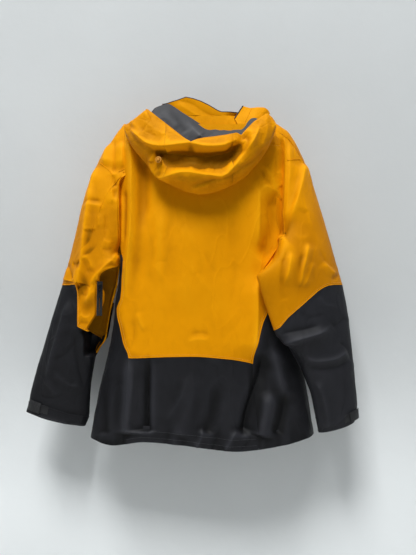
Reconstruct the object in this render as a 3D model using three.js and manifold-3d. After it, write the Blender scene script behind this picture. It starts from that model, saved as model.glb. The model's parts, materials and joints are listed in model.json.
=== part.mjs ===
// Hardshell jacket hanging at rest: shell panels, collar, drop hood, articulated sleeves, zips with
// sliders and pulls, cuff tabs, drawcords and their locks.
// Millimetres. +Z up, +X the wearer's left, -Y the wearer's front. The origin is the middle of the
// neck opening, level with the shoulder line, where a hanger or a hook holds the jacket.
import * as THREE from "three";
import { mergeVertices } from "three/addons/utils/BufferGeometryUtils.js";
import Module from "manifold-3d";

const wasm = await Module();
wasm.setup();

// ---- driving dimensions ----
const CLOTH = 1.6; // thickness of a shell layer
const GAP = 0.7; // seam gap between neighbouring panels, each side
const HEM_Z = -826; // hem line, mean
const NECK_HALF = 95; // half width of the neck opening
const SHOULDER_SLOPE = 0.33;
const SHOULDER_TOP = -10; // height of the shoulder line at the neck
const SHOULDER_ROUND = 58; // how far the shoulder takes to reach full depth
const ARMHOLE_X = 181; // the armhole seams' distance from the middle
const ARMPIT_Z = -355;
const SUPER_N = 2.6; // squareness of the body's section
const BACK_SEAM_Z = -617; // colour seam across the back
const FRONT_SEAM_Z = -560; // colour seam across the front
const YOKE_SEAM_Z = -98; // seam of the back yoke
const ZIP_TOP = new THREE.Vector3(0, -56.2, -66);
const ZIP_BOTTOM = new THREE.Vector3(0, -89.3, -815);
const PANEL_EDGE_X = 9; // front panels stop here, beside the zip

// ---- colours ----
const mat = (color, roughness, metalness = 0) =>
  new THREE.MeshStandardMaterial({ color, roughness, metalness });
const YELLOW = mat(0xe39a05, 0.62);
const BLACK = mat(0x222326, 0.6);
const GREY = mat(0x56565a, 0.75);
const PALE = mat(0xb9b9b6, 0.8);
const TAPE = mat(0x0d0d0f, 0.45);
const METAL = mat(0x3a3b3d, 0.35, 0.8);
const PLASTIC = mat(0x141416, 0.5);
const CORD = mat(0x1c1c1e, 0.8);
const YPLAST = mat(0xc98a08, 0.5);

const root = new THREE.Group();
const V = (x, y, z) => new THREE.Vector3(x, y, z);
const clamp = (x, a, b) => Math.min(b, Math.max(a, x));
const mix = (a, b, t) => a + (b - a) * t;

// smooth interpolation through rows [key, value, value, ...] with rising or falling keys
function curve(rows) {
  const r = rows[0][0] > rows[rows.length - 1][0] ? [...rows].reverse() : rows;
  return (k, col = 1) => {
    if (k <= r[0][0]) return r[0][col];
    if (k >= r[r.length - 1][0]) return r[r.length - 1][col];
    let i = 0;
    while (r[i + 1][0] < k) i++;
    const h = r[i + 1][0] - r[i][0];
    const t = (k - r[i][0]) / h;
    const slope = (j) => {
      if (j === 0 || j === r.length - 1) return (r[Math.min(j + 1, r.length - 1)][col] - r[Math.max(j - 1, 0)][col]) / (r[Math.min(j + 1, r.length - 1)][0] - r[Math.max(j - 1, 0)][0]);
      const a = (r[j][col] - r[j - 1][col]) / (r[j][0] - r[j - 1][0]);
      const b = (r[j + 1][col] - r[j][col]) / (r[j + 1][0] - r[j][0]);
      return a * b <= 0 ? 0 : (2 * a * b) / (a + b);
    };
    const m0 = slope(i) * h, m1 = slope(i + 1) * h;
    const t2 = t * t, t3 = t2 * t;
    return (2 * t3 - 3 * t2 + 1) * r[i][col] + (t3 - 2 * t2 + t) * m0 + (-2 * t3 + 3 * t2) * r[i + 1][col] + (t3 - t2) * m1;
  };
}

// ---- the body's surface ----
const halfWidth = curve([[0, 215], [-250, 213], [-357, 191], [-395, 196], [-431, 205], [-470, 214], [-495, 219], [-545, 226], [-595, 238], [-707, 264], [-795, 281], [-840, 286]]);
const backDepth = curve([[20, 42], [-60, 50], [-120, 57], [-205, 63], [-355, 71], [-545, 76], [-840, 85]]);
const frontDepth = (z) => 56 + 0.0442 * (-60 - z);
// the back's side seams, drawn in towards the colour seam; the body hangs a little turned, so they differ
const backSeamX = {
  left: curve([[-340, ARMHOLE_X], [-355, ARMHOLE_X], [-377, 184], [-405, 191], [-457, 203], [-485, 210], [-510, 211], [-537, 206], [-582, 197], [-617, 186], [-840, 192]]),
  right: curve([[-340, ARMHOLE_X], [-355, ARMHOLE_X], [-430, 178], [-482, 170], [-532, 148], [-570, 137], [-617, 126], [-840, 136]]),
};
const frontSeamX = curve([[-340, ARMHOLE_X], [-355, ARMHOLE_X], [-430, 190], [-560, 178], [-840, 192]]);
const ridge = (x) => (Math.abs(x) >= NECK_HALF ? SHOULDER_TOP - (Math.abs(x) - NECK_HALF) * SHOULDER_SLOPE : SHOULDER_TOP + (NECK_HALF - Math.abs(x)) * 1.2);
const shoulderRound = (x, z) => {
  const t = clamp((ridge(x) - z) / SHOULDER_ROUND, 0, 1);
  return Math.sqrt(1 - (1 - t) * (1 - t));
};
const depthAt = (x, z, back) =>
  (back ? backDepth(z) : frontDepth(z)) * Math.pow(Math.max(0, 1 - Math.pow(Math.min(1, Math.abs(x) / halfWidth(z)), SUPER_N)), 1 / SUPER_N) * shoulderRound(x, z);
// angle form for the sides: 0 at the middle of the back, 90 at the wearer's left, 180 at the front
const around = (deg, z) => {
  const a = THREE.MathUtils.degToRad(deg), s = Math.sin(a), c = Math.cos(a);
  return V(halfWidth(z) * Math.sign(s) * Math.pow(Math.abs(s), 2 / SUPER_N), (c >= 0 ? backDepth(z) : frontDepth(z)) * Math.sign(c) * Math.pow(Math.abs(c), 2 / SUPER_N), z);
};
const angleOf = (x, z) => THREE.MathUtils.radToDeg(Math.asin(clamp(Math.pow(Math.abs(x) / halfWidth(z), SUPER_N / 2), 0, 1)));
const hemZ = curve([[-292, -806], [-200, -824], [-82, -836], [42, -822], [142, -814], [225, -826], [292, -812]]);
const neckZ = (x, back) => (back ? -12 : -12 - 40 * (1 - Math.pow(Math.min(1, Math.abs(x) / NECK_HALF), 2)));

// ---- solids from grids ----
// outer[i][j] and inner[i][j] are the two faces of a sheet; wrap joins the last column to the first
function sheetGeometry(outer, inner, wrap = false) {
  const nu = outer.length, nv = outer[0].length, pos = [], idx = [];
  for (const g of [outer, inner]) for (const col of g) for (const p of col) pos.push(p.x, p.y, p.z);
  const o = (i, j) => (i % nu) * nv + j, n = (i, j) => nu * nv + (i % nu) * nv + j;
  const quad = (a, b, c, d) => idx.push(a, b, c, a, c, d);
  const last = wrap ? nu : nu - 1;
  for (let i = 0; i < last; i++) {
    for (let j = 0; j < nv - 1; j++) {
      quad(o(i, j), o(i + 1, j), o(i + 1, j + 1), o(i, j + 1));
      quad(n(i, j), n(i, j + 1), n(i + 1, j + 1), n(i + 1, j));
    }
    quad(o(i, 0), n(i, 0), n(i + 1, 0), o(i + 1, 0));
    quad(o(i, nv - 1), o(i + 1, nv - 1), n(i + 1, nv - 1), n(i, nv - 1));
  }
  if (!wrap)
    for (let j = 0; j < nv - 1; j++) {
      quad(o(0, j), o(0, j + 1), n(0, j + 1), n(0, j));
      quad(o(nu - 1, j), n(nu - 1, j), n(nu - 1, j + 1), o(nu - 1, j + 1));
    }
  let g = new THREE.BufferGeometry();
  g.setAttribute("position", new THREE.BufferAttribute(new Float32Array(pos), 3));
  g.setIndex(idx);
  if (signedVolume(g) < 0) {
    for (let k = 0; k < idx.length; k += 3) [idx[k + 1], idx[k + 2]] = [idx[k + 2], idx[k + 1]];
    g.setIndex(idx);
  }
  g = mergeVertices(g, 1e-3);
  g.computeVertexNormals();
  return g;
}
function signedVolume(g) {
  const p = g.attributes.position.array, t = g.index.array;
  let v = 0;
  const a = V(), b = V(), c = V();
  for (let i = 0; i < t.length; i += 3) {
    a.fromArray(p, t[i] * 3); b.fromArray(p, t[i + 1] * 3); c.fromArray(p, t[i + 2] * 3);
    v += a.dot(b.cross(c)) / 6;
  }
  return v;
}
// A sheet over F(u, v), offset from its surface by near and far along outward normals.
function patch(F, nu, nv, near, far, { wrap = false, out = (p) => V(p.x, p.y, 0) } = {}) {
  const e = 1e-3, A = [], B = [];
  for (let i = 0; i < (wrap ? nu : nu + 1); i++) {
    A.push([]); B.push([]);
    for (let j = 0; j <= nv; j++) {
      const u = i / nu, v = j / nv, p = F(u, v);
      const u0 = wrap ? u - e : Math.max(0, u - e), u1 = wrap ? u + e : Math.min(1, u + e);
      const du = F(u1, v).sub(F(u0, v)), dv = F(u, Math.min(1, v + e)).sub(F(u, Math.max(0, v - e)));
      const n = du.cross(dv).normalize();
      if (n.dot(out(p, u, v)) < 0) n.negate();
      A[i].push(p.clone().addScaledVector(n, near));
      B[i].push(p.clone().addScaledVector(n, far));
    }
  }
  return sheetGeometry(A, B, wrap);
}
const add = (name, geometry, material, group = root) => {
  const m = new THREE.Mesh(geometry, material);
  m.name = name;
  group.add(m);
  return m;
};
// boolean union or difference of three.js geometries
const solid = (g) => {
  const s = g.index ? g.toNonIndexed() : g.clone();
  for (const k of Object.keys(s.attributes)) if (k !== "position") s.deleteAttribute(k);
  const m = mergeVertices(s, 1e-4);
  return new wasm.Manifold(new wasm.Mesh({ numProp: 3, vertProperties: m.attributes.position.array, triVerts: new Uint32Array(m.index.array) }));
};
const unsolid = (s) => {
  const m = s.getMesh(), g = new THREE.BufferGeometry();
  g.setAttribute("position", new THREE.BufferAttribute(new Float32Array(m.vertProperties), 3));
  g.setIndex(new THREE.BufferAttribute(new Uint32Array(m.triVerts), 1));
  g.computeVertexNormals();
  return g;
};
const union = (...gs) => unsolid(gs.map(solid).reduce((a, b) => a.add(b)));
const cut = (a, ...bs) => unsolid(bs.map(solid).reduce((x, b) => x.subtract(b), solid(a)));
const box = (w, d, h, x = 0, y = 0, z = 0) => new THREE.BoxGeometry(w, d, h).translate(x, y, z);
const cyl = (r, h, seg = 16) => new THREE.CylinderGeometry(r, r, h, seg);
const place = (g, m) => g.clone().applyMatrix4(m);

// ---- body panels ----
const RIDGE_END = 0.006; // the panels stop this far under the shoulder line
// rows of heights that neighbouring panels share, so that their seams run side by side
const ROWS_TORSO = [-357, -381, -406, -431, -456, -481, -507, -533, FRONT_SEAM_Z + GAP];
const ROWS_SKIRT = [-670, -722, -774];
const rowsBetween = (hi, lo) => [...ROWS_TORSO, FRONT_SEAM_Z - GAP, -588, BACK_SEAM_Z + GAP, BACK_SEAM_Z - GAP, ...ROWS_SKIRT].filter((z) => z <= hi + 1e-9 && z >= lo - 1e-9);
// A sheet of body cloth between two side edges x(z); rows are heights from the top down, and a last row may follow the hem.
function bodySheet(xLow, xHigh, rows, back, nu, { near = 0, far = -CLOTH, hem = false } = {}) {
  const A = [], B = [], sy = back ? 1 : -1;
  for (let i = 0; i <= nu; i++) {
    const u = i / nu, a = [], b = [], xh = mix(xLow(-820), xHigh(-820), u);
    for (const z of hem ? [...rows, hemZ(xh)] : rows) {
      const x = mix(xLow(z), xHigh(z), u), y = depthAt(x, z, back), m = V(-(depthAt(x + 0.5, z, back) - depthAt(x - 0.5, z, back)), 1, -(depthAt(x, z + 0.5, back) - depthAt(x, z - 0.5, back))).normalize();
      a.push(V(x + m.x * near, sy * (y + m.y * near), z + m.z * near));
      b.push(V(x + m.x * far, sy * (y + m.y * far), z + m.z * far));
    }
    A.push(a); B.push(b);
  }
  return sheetGeometry(A, B);
}
// The back below the yoke, in yellow, down to the colour seam, and the black panel under it.
add("back_panel", bodySheet((z) => -backSeamX.right(z) + GAP, (z) => backSeamX.left(z) - GAP, [YOKE_SEAM_Z - GAP, -122, -160, -220, -290, ...rowsBetween(-350, BACK_SEAM_Z + GAP)], true, 14), YELLOW);
add("back_hem_panel", bodySheet((z) => -backSeamX.right(z) + GAP, (z) => backSeamX.left(z) - GAP, rowsBetween(BACK_SEAM_Z - GAP, -800), true, 12, { hem: true }), BLACK);
// The yoke covers the shoulders from the back seam to the shoulder line and the neck seam.
{
  const cols = [-181 + GAP, -160, -138, -116, -96.5, -94, -78, -50, -25, 0, 25, 50, 78, 94, 96.5, 116, 138, 160, 181 - GAP];
  const A = [], B = [], nv = 7;
  for (const x of cols) {
    const inNeck = Math.abs(x) < NECK_HALF, top = inNeck ? neckZ(x, true) : ridge(x) - RIDGE_END, a = [], b = [];
    for (let j = 0; j <= nv; j++) {
      const q = 1 - j / nv, z = inNeck ? mix(top, YOKE_SEAM_Z, q) : top - (top - YOKE_SEAM_Z) * q * q;
      const f = (dx, dz) => V(x + dx, depthAt(x + dx, Math.min(z + dz, ridge(x + dx) - 1e-4), true), Math.min(z + dz, ridge(x + dx) - 1e-4));
      const side = inNeck ? 0.5 : 1;
      const n = f(side * 0.05, 0).sub(f(-side * 0.05, 0)).cross(f(0, 0.003).sub(f(0, -0.2))).normalize();
      if (n.y < 0 && Math.abs(n.y) > 0.02) n.negate();
      if (n.z < -0.2) n.negate();
      const p = V(x, depthAt(x, z, true), z);
      // near the shoulder line the layer's thickness runs down instead of sideways
      const h = inNeck ? 1 : clamp((ridge(x) - z) / SHOULDER_ROUND, 0, 1);
      const m = V(0, Math.sqrt(1 - (1 - h) * (1 - h)), (1 - h)).normalize();
      a.push(p); b.push(p.clone().addScaledVector(m, -CLOTH));
    }
    A.push(a); B.push(b);
  }
  add("back_yoke", sheetGeometry(A, B), YELLOW);
}
// Front panels: yellow chest up to the shoulder line and neck, black skirt below.
for (const [side, s] of [["left", 1], ["right", -1]]) {
  const cols = [0, 0.12, 0.25, 0.37, 0.485, 0.51, 0.62, 0.74, 0.87, 1], A = [], B = [];
  for (const u of cols) {
    const xTop = mix(PANEL_EDGE_X, ARMHOLE_X - GAP, u), inNeck = xTop < NECK_HALF;
    const top = inNeck ? neckZ(xTop, false) : ridge(xTop) - RIDGE_END, a = [], b = [];
    const shoulder = [0, 0.025, 0.08, 0.17, 0.3, 0.5, 0.75].map((q) => mix(top, -300, inNeck ? Math.max(q * 1.02, q) : q));
    for (const z of [...shoulder, ...rowsBetween(-350, FRONT_SEAM_Z + GAP)]) {
      const x = mix(PANEL_EDGE_X, frontSeamX(z) - GAP, u), y = -depthAt(x, z, false);
      const h = inNeck ? 1 : clamp((ridge(x) - z) / SHOULDER_ROUND, 0, 1);
      const slope = (depthAt(x + 1, z, false) - depthAt(x - 1, z, false)) / 2;
      const m = h < 0.999 ? V(0, -Math.sqrt(1 - (1 - h) * (1 - h)), 1 - h) : V(-slope, -1, 0);
      m.normalize();
      a.push(V(s * x, y, z)); b.push(V(s * (x - m.x * CLOTH), y - m.y * CLOTH, z - m.z * CLOTH));
    }
    A.push(a); B.push(b);
  }
  add(side + "_front_panel", sheetGeometry(A, B), YELLOW);
  const inner = (z) => (s > 0 ? PANEL_EDGE_X : -frontSeamX(z) + GAP), outer = (z) => (s > 0 ? frontSeamX(z) - GAP : -PANEL_EDGE_X);
  add(side + "_front_hem_panel", bodySheet(inner, outer, rowsBetween(FRONT_SEAM_Z - GAP, -800), false, 7, { hem: true }), BLACK);
  // The side panel runs under the arm from the back seam round to the front seam.
  const A2 = [], B2 = [], nu = 10;
  for (let i = 0; i <= nu; i++) {
    const a = [], b = [];
    for (const z0 of [...rowsBetween(-350, -800), null]) {
      const zz = z0 === null ? -820 : z0, a0 = angleOf(backSeamX[side](zz) + GAP, zz), a1 = 180 - angleOf(frontSeamX(zz) + GAP, zz), deg = s * mix(a0, a1, i / nu);
      const z = z0 === null ? hemZ(around(deg, -820).x) : z0;
      const p = around(deg, z), q = around(deg + 0.2, z).sub(around(deg - 0.2, z)), r = around(deg, z + 1).sub(around(deg, z - 1)), n = q.cross(r).normalize();
      if (n.dot(V(p.x - s * 150, p.y, 0)) < 0) n.negate();
      a.push(p); b.push(p.clone().addScaledVector(n, -CLOTH));
    }
    A2.push(a); B2.push(b);
  }
  add(side + "_side_panel", sheetGeometry(A2, B2), BLACK);
}

// ---- collar: outer shell and lining, open at the front above the zip ----
const collarLoop = (() => {
  // around the neck from the wearer's left front edge, over the back, to the right front edge
  const pts = [];
  const push = (x, back) => pts.push(V(x, (back ? 1 : -1) * depthAt(x, neckZ(x, back), back), neckZ(x, back)));
  for (const x of [11, 30, 52, 72, 86, 92.5]) push(x, false);
  for (const x of [92.5, 86, 72, 52, 26, 0, -26, -52, -72, -86, -92.5]) push(x, true);
  for (const x of [-92.5, -86, -72, -52, -30, -11]) push(x, false);
  return pts;
})();
const collarTop = curve([[-120, 6], [-80, 2], [-40, 2], [0, 16], [40, 33], [80, 38], [120, 34]]);
function collarSheet(near, far, base, drop) {
  const A = [], B = [], nv = 3, N = collarLoop.length;
  collarLoop.forEach((p, i) => {
    const t = i / (N - 1), frontness = Math.pow(clamp(Math.abs(t - 0.5) * 2, 0, 1), 3);
    const flare = 1.14, top = V(p.x * flare + Math.sign(p.x) * 34 * frontness * (1 - Math.abs(p.x) / 130), p.y * 1.04, collarTop(p.x * flare) + 6 * frontness - drop);
    const prev = collarLoop[Math.max(0, i - 1)], next = collarLoop[Math.min(N - 1, i + 1)];
    const n = V(next.y - prev.y, -(next.x - prev.x), 0).normalize();
    if (n.dot(V(p.x, p.y, 0)) < 0) n.negate();
    const a = [], b = [];
    for (let j = 0; j <= nv; j++) {
      const q = j / nv, c = V(mix(p.x, top.x, q), mix(p.y, top.y, q) + Math.sin(q * Math.PI) * 2 * Math.sign(p.y), mix(p.z + base, top.z, q));
      a.push(c.clone().addScaledVector(n, near)); b.push(c.clone().addScaledVector(n, far));
    }
    A.push(a); B.push(b);
  });
  return sheetGeometry(A, B);
}
add("collar_shell", collarSheet(0, -CLOTH, 1.2, 0), YELLOW);
add("collar_lining", collarSheet(-CLOTH - 1.6, -2 * CLOTH - 1.4, 2, 1.5), PALE);

// ---- hang loop inside the back neck ----
const LOOP_Y = backDepth(-24) - CLOTH - 1.2;
add("hang_loop", (() => {
  const path = [V(-30, LOOP_Y, -26), V(-26, LOOP_Y, -26), V(-22, LOOP_Y - 11, -26), V(22, LOOP_Y - 11, -26), V(26, LOOP_Y, -26), V(30, LOOP_Y, -26)];
  const A = [], B = [];
  path.forEach((p, i) => {
    const d = i === 0 || i === 5 ? V(1, 0, 0) : path[i + 1].clone().sub(path[i - 1]).normalize(), n = V(d.y, -d.x, 0);
    A.push([p.clone().add(V(0, 0, -4.5)), p.clone().add(V(0, 0, 4.5))]);
    B.push([p.clone().addScaledVector(n, 1.2).add(V(0, 0, -4.5)), p.clone().addScaledVector(n, 1.2).add(V(0, 0, 4.5))]);
  });
  return sheetGeometry(A, B);
})(), TAPE);

// ---- zips ----
// A zip's own frame: x across, y along it (up), z out of the cloth. Origin on the outer face of the tape.
const TAPE_T = 0.8, COIL_T = 1.8, HALF_GAP = 0.7;
function zipFrame(a, b, out) {
  const y = b.clone().sub(a).normalize(), z = out.clone().addScaledVector(y, -out.dot(y)).normalize(), x = y.clone().cross(z);
  return new THREE.Matrix4().makeBasis(x, y, z).setPosition(a);
}
const flat = (w, l, t, x, y, z) => box(w, l, t, x, y, z);
function zipHalf(length, s, tapeWidth) {
  return union(
    flat(tapeWidth - HALF_GAP, length, TAPE_T, (s * (tapeWidth + HALF_GAP)) / 2, length / 2, -TAPE_T / 2),
    flat(2.6, length - 4, COIL_T + 0.1, s * (HALF_GAP + 1.3), length / 2, -TAPE_T - COIL_T / 2 + 0.05),
  );
}
function closedZip(length, tapeWidth) {
  const ends = [3, length - 3].map((y) => flat(8, 3, 1.2, 0, y, -TAPE_T - 0.5));
  return union(zipHalf(length, 1, tapeWidth), zipHalf(length, -1, tapeWidth), ...ends);
}
function sliderGeometry() {
  const front = flat(8.6, 12, 1.4, 0, 0, 0.95), post = flat(0.9, 3, 4.6, 0, 2, -0.9), back = flat(8, 11, 1.1, 0, 0, -3.45);
  const arch = [flat(1.3, 1.3, 2.3, 0, 4.2, 2.7), flat(1.3, 1.3, 2.3, 0, -4.2, 2.7), flat(1.3, 9.7, 1.1, 0, 0, 4.4)];
  return union(front, post, back, ...arch);
}
function pullGeometry(length = 27) {
  // hinge axis along x through the origin
  const bar = flat(7.4, 1, 1, 0, 0, 0);
  const legs = [1, -1].map((s) => flat(1.5, 9.5, 1.2, s * 2.95, -4.25, 0));
  const tab = new THREE.ExtrudeGeometry((() => {
    const sh = new THREE.Shape();
    sh.moveTo(-3.7, -8.5); sh.lineTo(-3.7, -length + 3); sh.quadraticCurveTo(-3.7, -length, 0, -length); sh.quadraticCurveTo(3.7, -length, 3.7, -length + 3); sh.lineTo(3.7, -8.5); sh.closePath();
    return sh;
  })(), { depth: 1.2, bevelEnabled: false, curveSegments: 4 }).translate(0, 0, -0.6);
  return union(bar, ...legs, tab);
}
const PULL_Z = 2.75; // height of a pull's hinge over the tape
const zipInfo = {};
function addSlider(name, frame, at, group = root) {
  const m = frame.clone().multiply(new THREE.Matrix4().makeTranslation(0, at, 0));
  add(name + "_slider", place(sliderGeometry(), m), METAL, group);
  add(name + "_pull", place(pullGeometry(), m.clone().multiply(new THREE.Matrix4().makeTranslation(0, 0, PULL_Z))), METAL, group);
  const hinge = V(0, 0, PULL_Z).applyMatrix4(m), e = frame.elements;
  zipInfo[name] = { pivot_mm: hinge.toArray(), along: [e[4], e[5], e[6]], across: [e[0], e[1], e[2]], out: [e[8], e[9], e[10]] };
}
// The main zip lies behind the front panels' edges.
{
  const inward = V(0, 1, 0).multiplyScalar(CLOTH + 0.6), a = ZIP_BOTTOM.clone().add(inward), b = ZIP_TOP.clone().add(inward), L = a.distanceTo(b);
  const f = zipFrame(a, b, V(0, -1, 0));
  add("main_zip_left", place(zipHalf(L, 1, 15), f), TAPE);
  add("main_zip_right", place(zipHalf(L, -1, 15), f), TAPE);
  addSlider("main_zip", f, L - 12);
  // storm flap behind the zip
  add("storm_flap", place(flat(44, L - 4, 1.4, 0, L / 2, -8.2), f), BLACK);
  zipInfo.main_zip.length = L;
}
// Pocket zips lie on the panels' outer faces, straight, clear of the curved cloth below them.
function surfaceZip(name, s, x0, z0, x1, z1) {
  const P = (x, z) => V(s * x, -depthAt(x, z, false), z), a = P(x0, z0), b = P(x1, z1);
  const xm = (x0 + x1) / 2, zm = (z0 + z1) / 2, n = P(xm + 2, zm).sub(P(xm - 2, zm)).cross(P(xm, zm + 2).sub(P(xm, zm - 2))).normalize();
  if (n.y > 0) n.negate();
  let f = zipFrame(a, b, n);
  const L = a.distanceTo(b), inv = f.clone().invert();
  let high = -99;
  for (let i = 0; i <= 30; i++) for (let k = -1; k <= 1; k += 0.25) {
    const x = mix(x0, x1, i / 30) + k * 10.5, z = mix(z0, z1, i / 30);
    high = Math.max(high, P(x, z).applyMatrix4(inv).z);
  }
  const lift = high + TAPE_T + COIL_T + 2.6;
  f = f.multiply(new THREE.Matrix4().makeTranslation(0, 0, lift));
  add(name, place(closedZip(L, 9), f), TAPE);
  addSlider(name, f, L - 14);
  zipInfo[name].length = L; zipInfo[name].lift = lift;
}
surfaceZip("left_pocket_zip", 1, 150, -612, 128, -452);
surfaceZip("right_pocket_zip", -1, 150, -612, 128, -452);
surfaceZip("chest_pocket_zip", 1, 78, -330, 78, -186);
// Pocket bags hang flat behind the front panels.
for (const [name, s, x0, x1, z0, z1] of [["left_pocket_bag", 1, 34, 150, -640, -450], ["right_pocket_bag", -1, 34, 150, -640, -450], ["chest_pocket_bag", 1, 26, 120, -350, -190]])
  add(name, bodySheet(() => Math.min(s * x0, s * x1), () => Math.max(s * x0, s * x1), [0, 0.25, 0.5, 0.75, 1].map((q) => mix(z1, z0, q)), false, 6, { near: -CLOTH - 4.5, far: -CLOTH - 6 }), BLACK);

// ---- hem facing, drawcord in its channel, cord locks ----
{
  const cols = [];
  for (let i = 0; i <= 28; i++) {
    const deg = mix(176.5, -176.5, i / 28);
    cols.push(deg);
  }
  const at = (deg, z, off) => {
    const p = around(deg, z), q = around(deg + 0.5, z), r = around(deg - 0.5, z), n = V(q.y - r.y, r.x - q.x, 0).normalize();
    if (n.dot(V(p.x, p.y, 0)) < 0) n.negate();
    return p.addScaledVector(n, off);
  };
  const base = (deg) => hemZ(around(deg, -820).x);
  const A = cols.map((d) => [at(d, base(d) + 1, -7), at(d, base(d) + 38, -7)]), B = cols.map((d) => [at(d, base(d) + 1, -8.4), at(d, base(d) + 38, -8.4)]);
  add("hem_facing", sheetGeometry(A, B), BLACK);
  const ring = cols.map((d) => at(d, base(d) + 14, -CLOTH - 3.3)), R = 1.3, seg = 6, O = [];
  for (let k = 0; k < seg; k++) {
    O.push(ring.map((p, i) => {
      const t = ring[Math.min(i + 1, ring.length - 1)].clone().sub(ring[Math.max(0, i - 1)]).normalize(), n = V(0, 0, 1), b = t.clone().cross(n).normalize();
      const a = (k / seg) * 2 * Math.PI;
      return p.clone().addScaledVector(b, R * Math.cos(a)).addScaledVector(t.clone().cross(b).negate(), R * Math.sin(a));
    }));
  }
  add("hem_drawcord", cordFromRings(O), CORD);
  // cord locks stand inside the hem facing at both sides
  for (const [side, s] of [["left", 1], ["right", -1]]) {
    const deg = s * 128, z = base(deg) + 24, p = at(deg, z, -9.4), q = at(deg, z, -30), n = q.clone().sub(p).normalize();
    const f = new THREE.Matrix4().makeBasis(V(0, 0, 1).cross(n), V(0, 0, 1), n).setPosition(p);
    const body = cut(union(place(cyl(7, 13, 12).rotateX(Math.PI / 2).rotateX(Math.PI / 2), new THREE.Matrix4()).translate(0, 0, 7.4)), cyl(4.6, 14, 12).translate(0, 3.5, 7.4), box(20, 3, 3.4, 0, -2.4, 7.4));
    add(side + "_hem_cord_lock", place(body, f), PLASTIC);
    const button = union(cyl(4.2, 9, 12).translate(0, 5.2, 7.4));
    add(side + "_hem_lock_button", place(button, f), PLASTIC);
    const c = V(0, 5, 7.4).applyMatrix4(f);
    zipInfo[side + "_hem_lock_button"] = { centre: c.toArray() };
  }
}
// a rod from its rings of section points, O[k][i]: side k, step i
function cordFromRings(O) {
  const seg = O.length, n = O[0].length, pos = [], idx = [];
  for (let i = 0; i < n; i++) for (let k = 0; k < seg; k++) pos.push(O[k][i].x, O[k][i].y, O[k][i].z);
  const id = (i, k) => i * seg + (k % seg);
  for (let i = 0; i < n - 1; i++) for (let k = 0; k < seg; k++) idx.push(id(i, k), id(i + 1, k), id(i + 1, k + 1), id(i, k), id(i + 1, k + 1), id(i, k + 1));
  for (let k = 1; k < seg - 1; k++) idx.push(id(0, 0), id(0, k), id(0, k + 1), id(n - 1, 0), id(n - 1, k + 1), id(n - 1, k));
  const g = new THREE.BufferGeometry();
  g.setAttribute("position", new THREE.BufferAttribute(new Float32Array(pos), 3));
  g.setIndex(idx);
  if (signedVolume(g) < 0) { for (let k = 0; k < idx.length; k += 3) [idx[k + 1], idx[k + 2]] = [idx[k + 2], idx[k + 1]]; g.setIndex(idx); }
  g.computeVertexNormals();
  return g;
}

// ---- sleeves ----
// rows: centre x, y, z, long half axis, depth half axis, angle of the long axis over horizontal, its lean towards the back
const SLEEVE = {
  left: [
    [183.2, 0, -203, 148, 40, 90, 0],
    [214, 3, -226, 126, 46, 78, 0.02],
    [248, 10, -286, 86, 48, 57, 0.12],
    [269, 18, -374, 65, 42, 26, 0.2],
    [293, 12, -470, 69, 44, 16, 0.1],
    [325, 8, -570, 68, 42, 15, 0],
    [351, 4, -670, 71, 38, 15, 0],
    [370, 2, -772, 75, 33, 14, 0],
  ],
  right: [
    [183.2, 0, -203, 148, 40, 90, 0],
    [209, 4, -226, 127, 46, 78, 0.06],
    [232, 28, -284, 91, 44, 54, 0.32],
    [243, 53, -370, 84, 40, 22, 0.42],
    [252, 54, -462, 92, 38, 14, 0.38],
    [272, 52, -540, 88, 38, 12, 0.32],
    [300, 44, -618, 72, 36, 12, 0.26],
    [323, 38, -700, 60, 34, 12, 0.2],
    [337, 30, -785, 53, 32, 15, 0.15],
  ],
};
function sleeve(side) {
  const rows = SLEEVE[side], s = side === "left" ? 1 : -1, pts = rows.map((r) => V(r[0], r[1], r[2]));
  const c = new THREE.CatmullRomCurve3(pts, false, "centripetal"), n = rows.length - 1;
  const col = (k, v) => {
    const x = clamp(v, 0, 1) * n, i = Math.min(n - 1, Math.floor(x)), t = x - i;
    const p = (j) => rows[clamp(j, 0, n)][k];
    const m0 = (p(i + 1) - p(i - 1)) / 2, m1 = (p(i + 2) - p(i)) / 2, t2 = t * t, t3 = t2 * t;
    return (2 * t3 - 3 * t2 + 1) * p(i) + (t3 - 2 * t2 + t) * m0 + (-2 * t3 + 3 * t2) * p(i + 1) + (t3 - t2) * m1;
  };
  return (v, theta, off = 0) => {
    const centre = c.getPoint(clamp(v, 0, 1)), A = col(3, v) + off, B = col(4, v) + off, a = THREE.MathUtils.degToRad(col(5, v)), lean = col(6, v);
    const e = V(Math.cos(a), -lean, Math.sin(a)), t = THREE.MathUtils.degToRad(theta), ct = Math.cos(t), st = Math.sin(t);
    const p = centre.addScaledVector(e, A * ct).add(V(0, B * Math.sign(st) * Math.pow(Math.abs(st), 0.92), 0));
    return V(s * p.x, p.y, p.z);
  };
}
const SEAM_V = { left: 0.615, right: 0.575 }, SEAM_TILT = 0.055, CUFF_V = 0.945;
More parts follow.
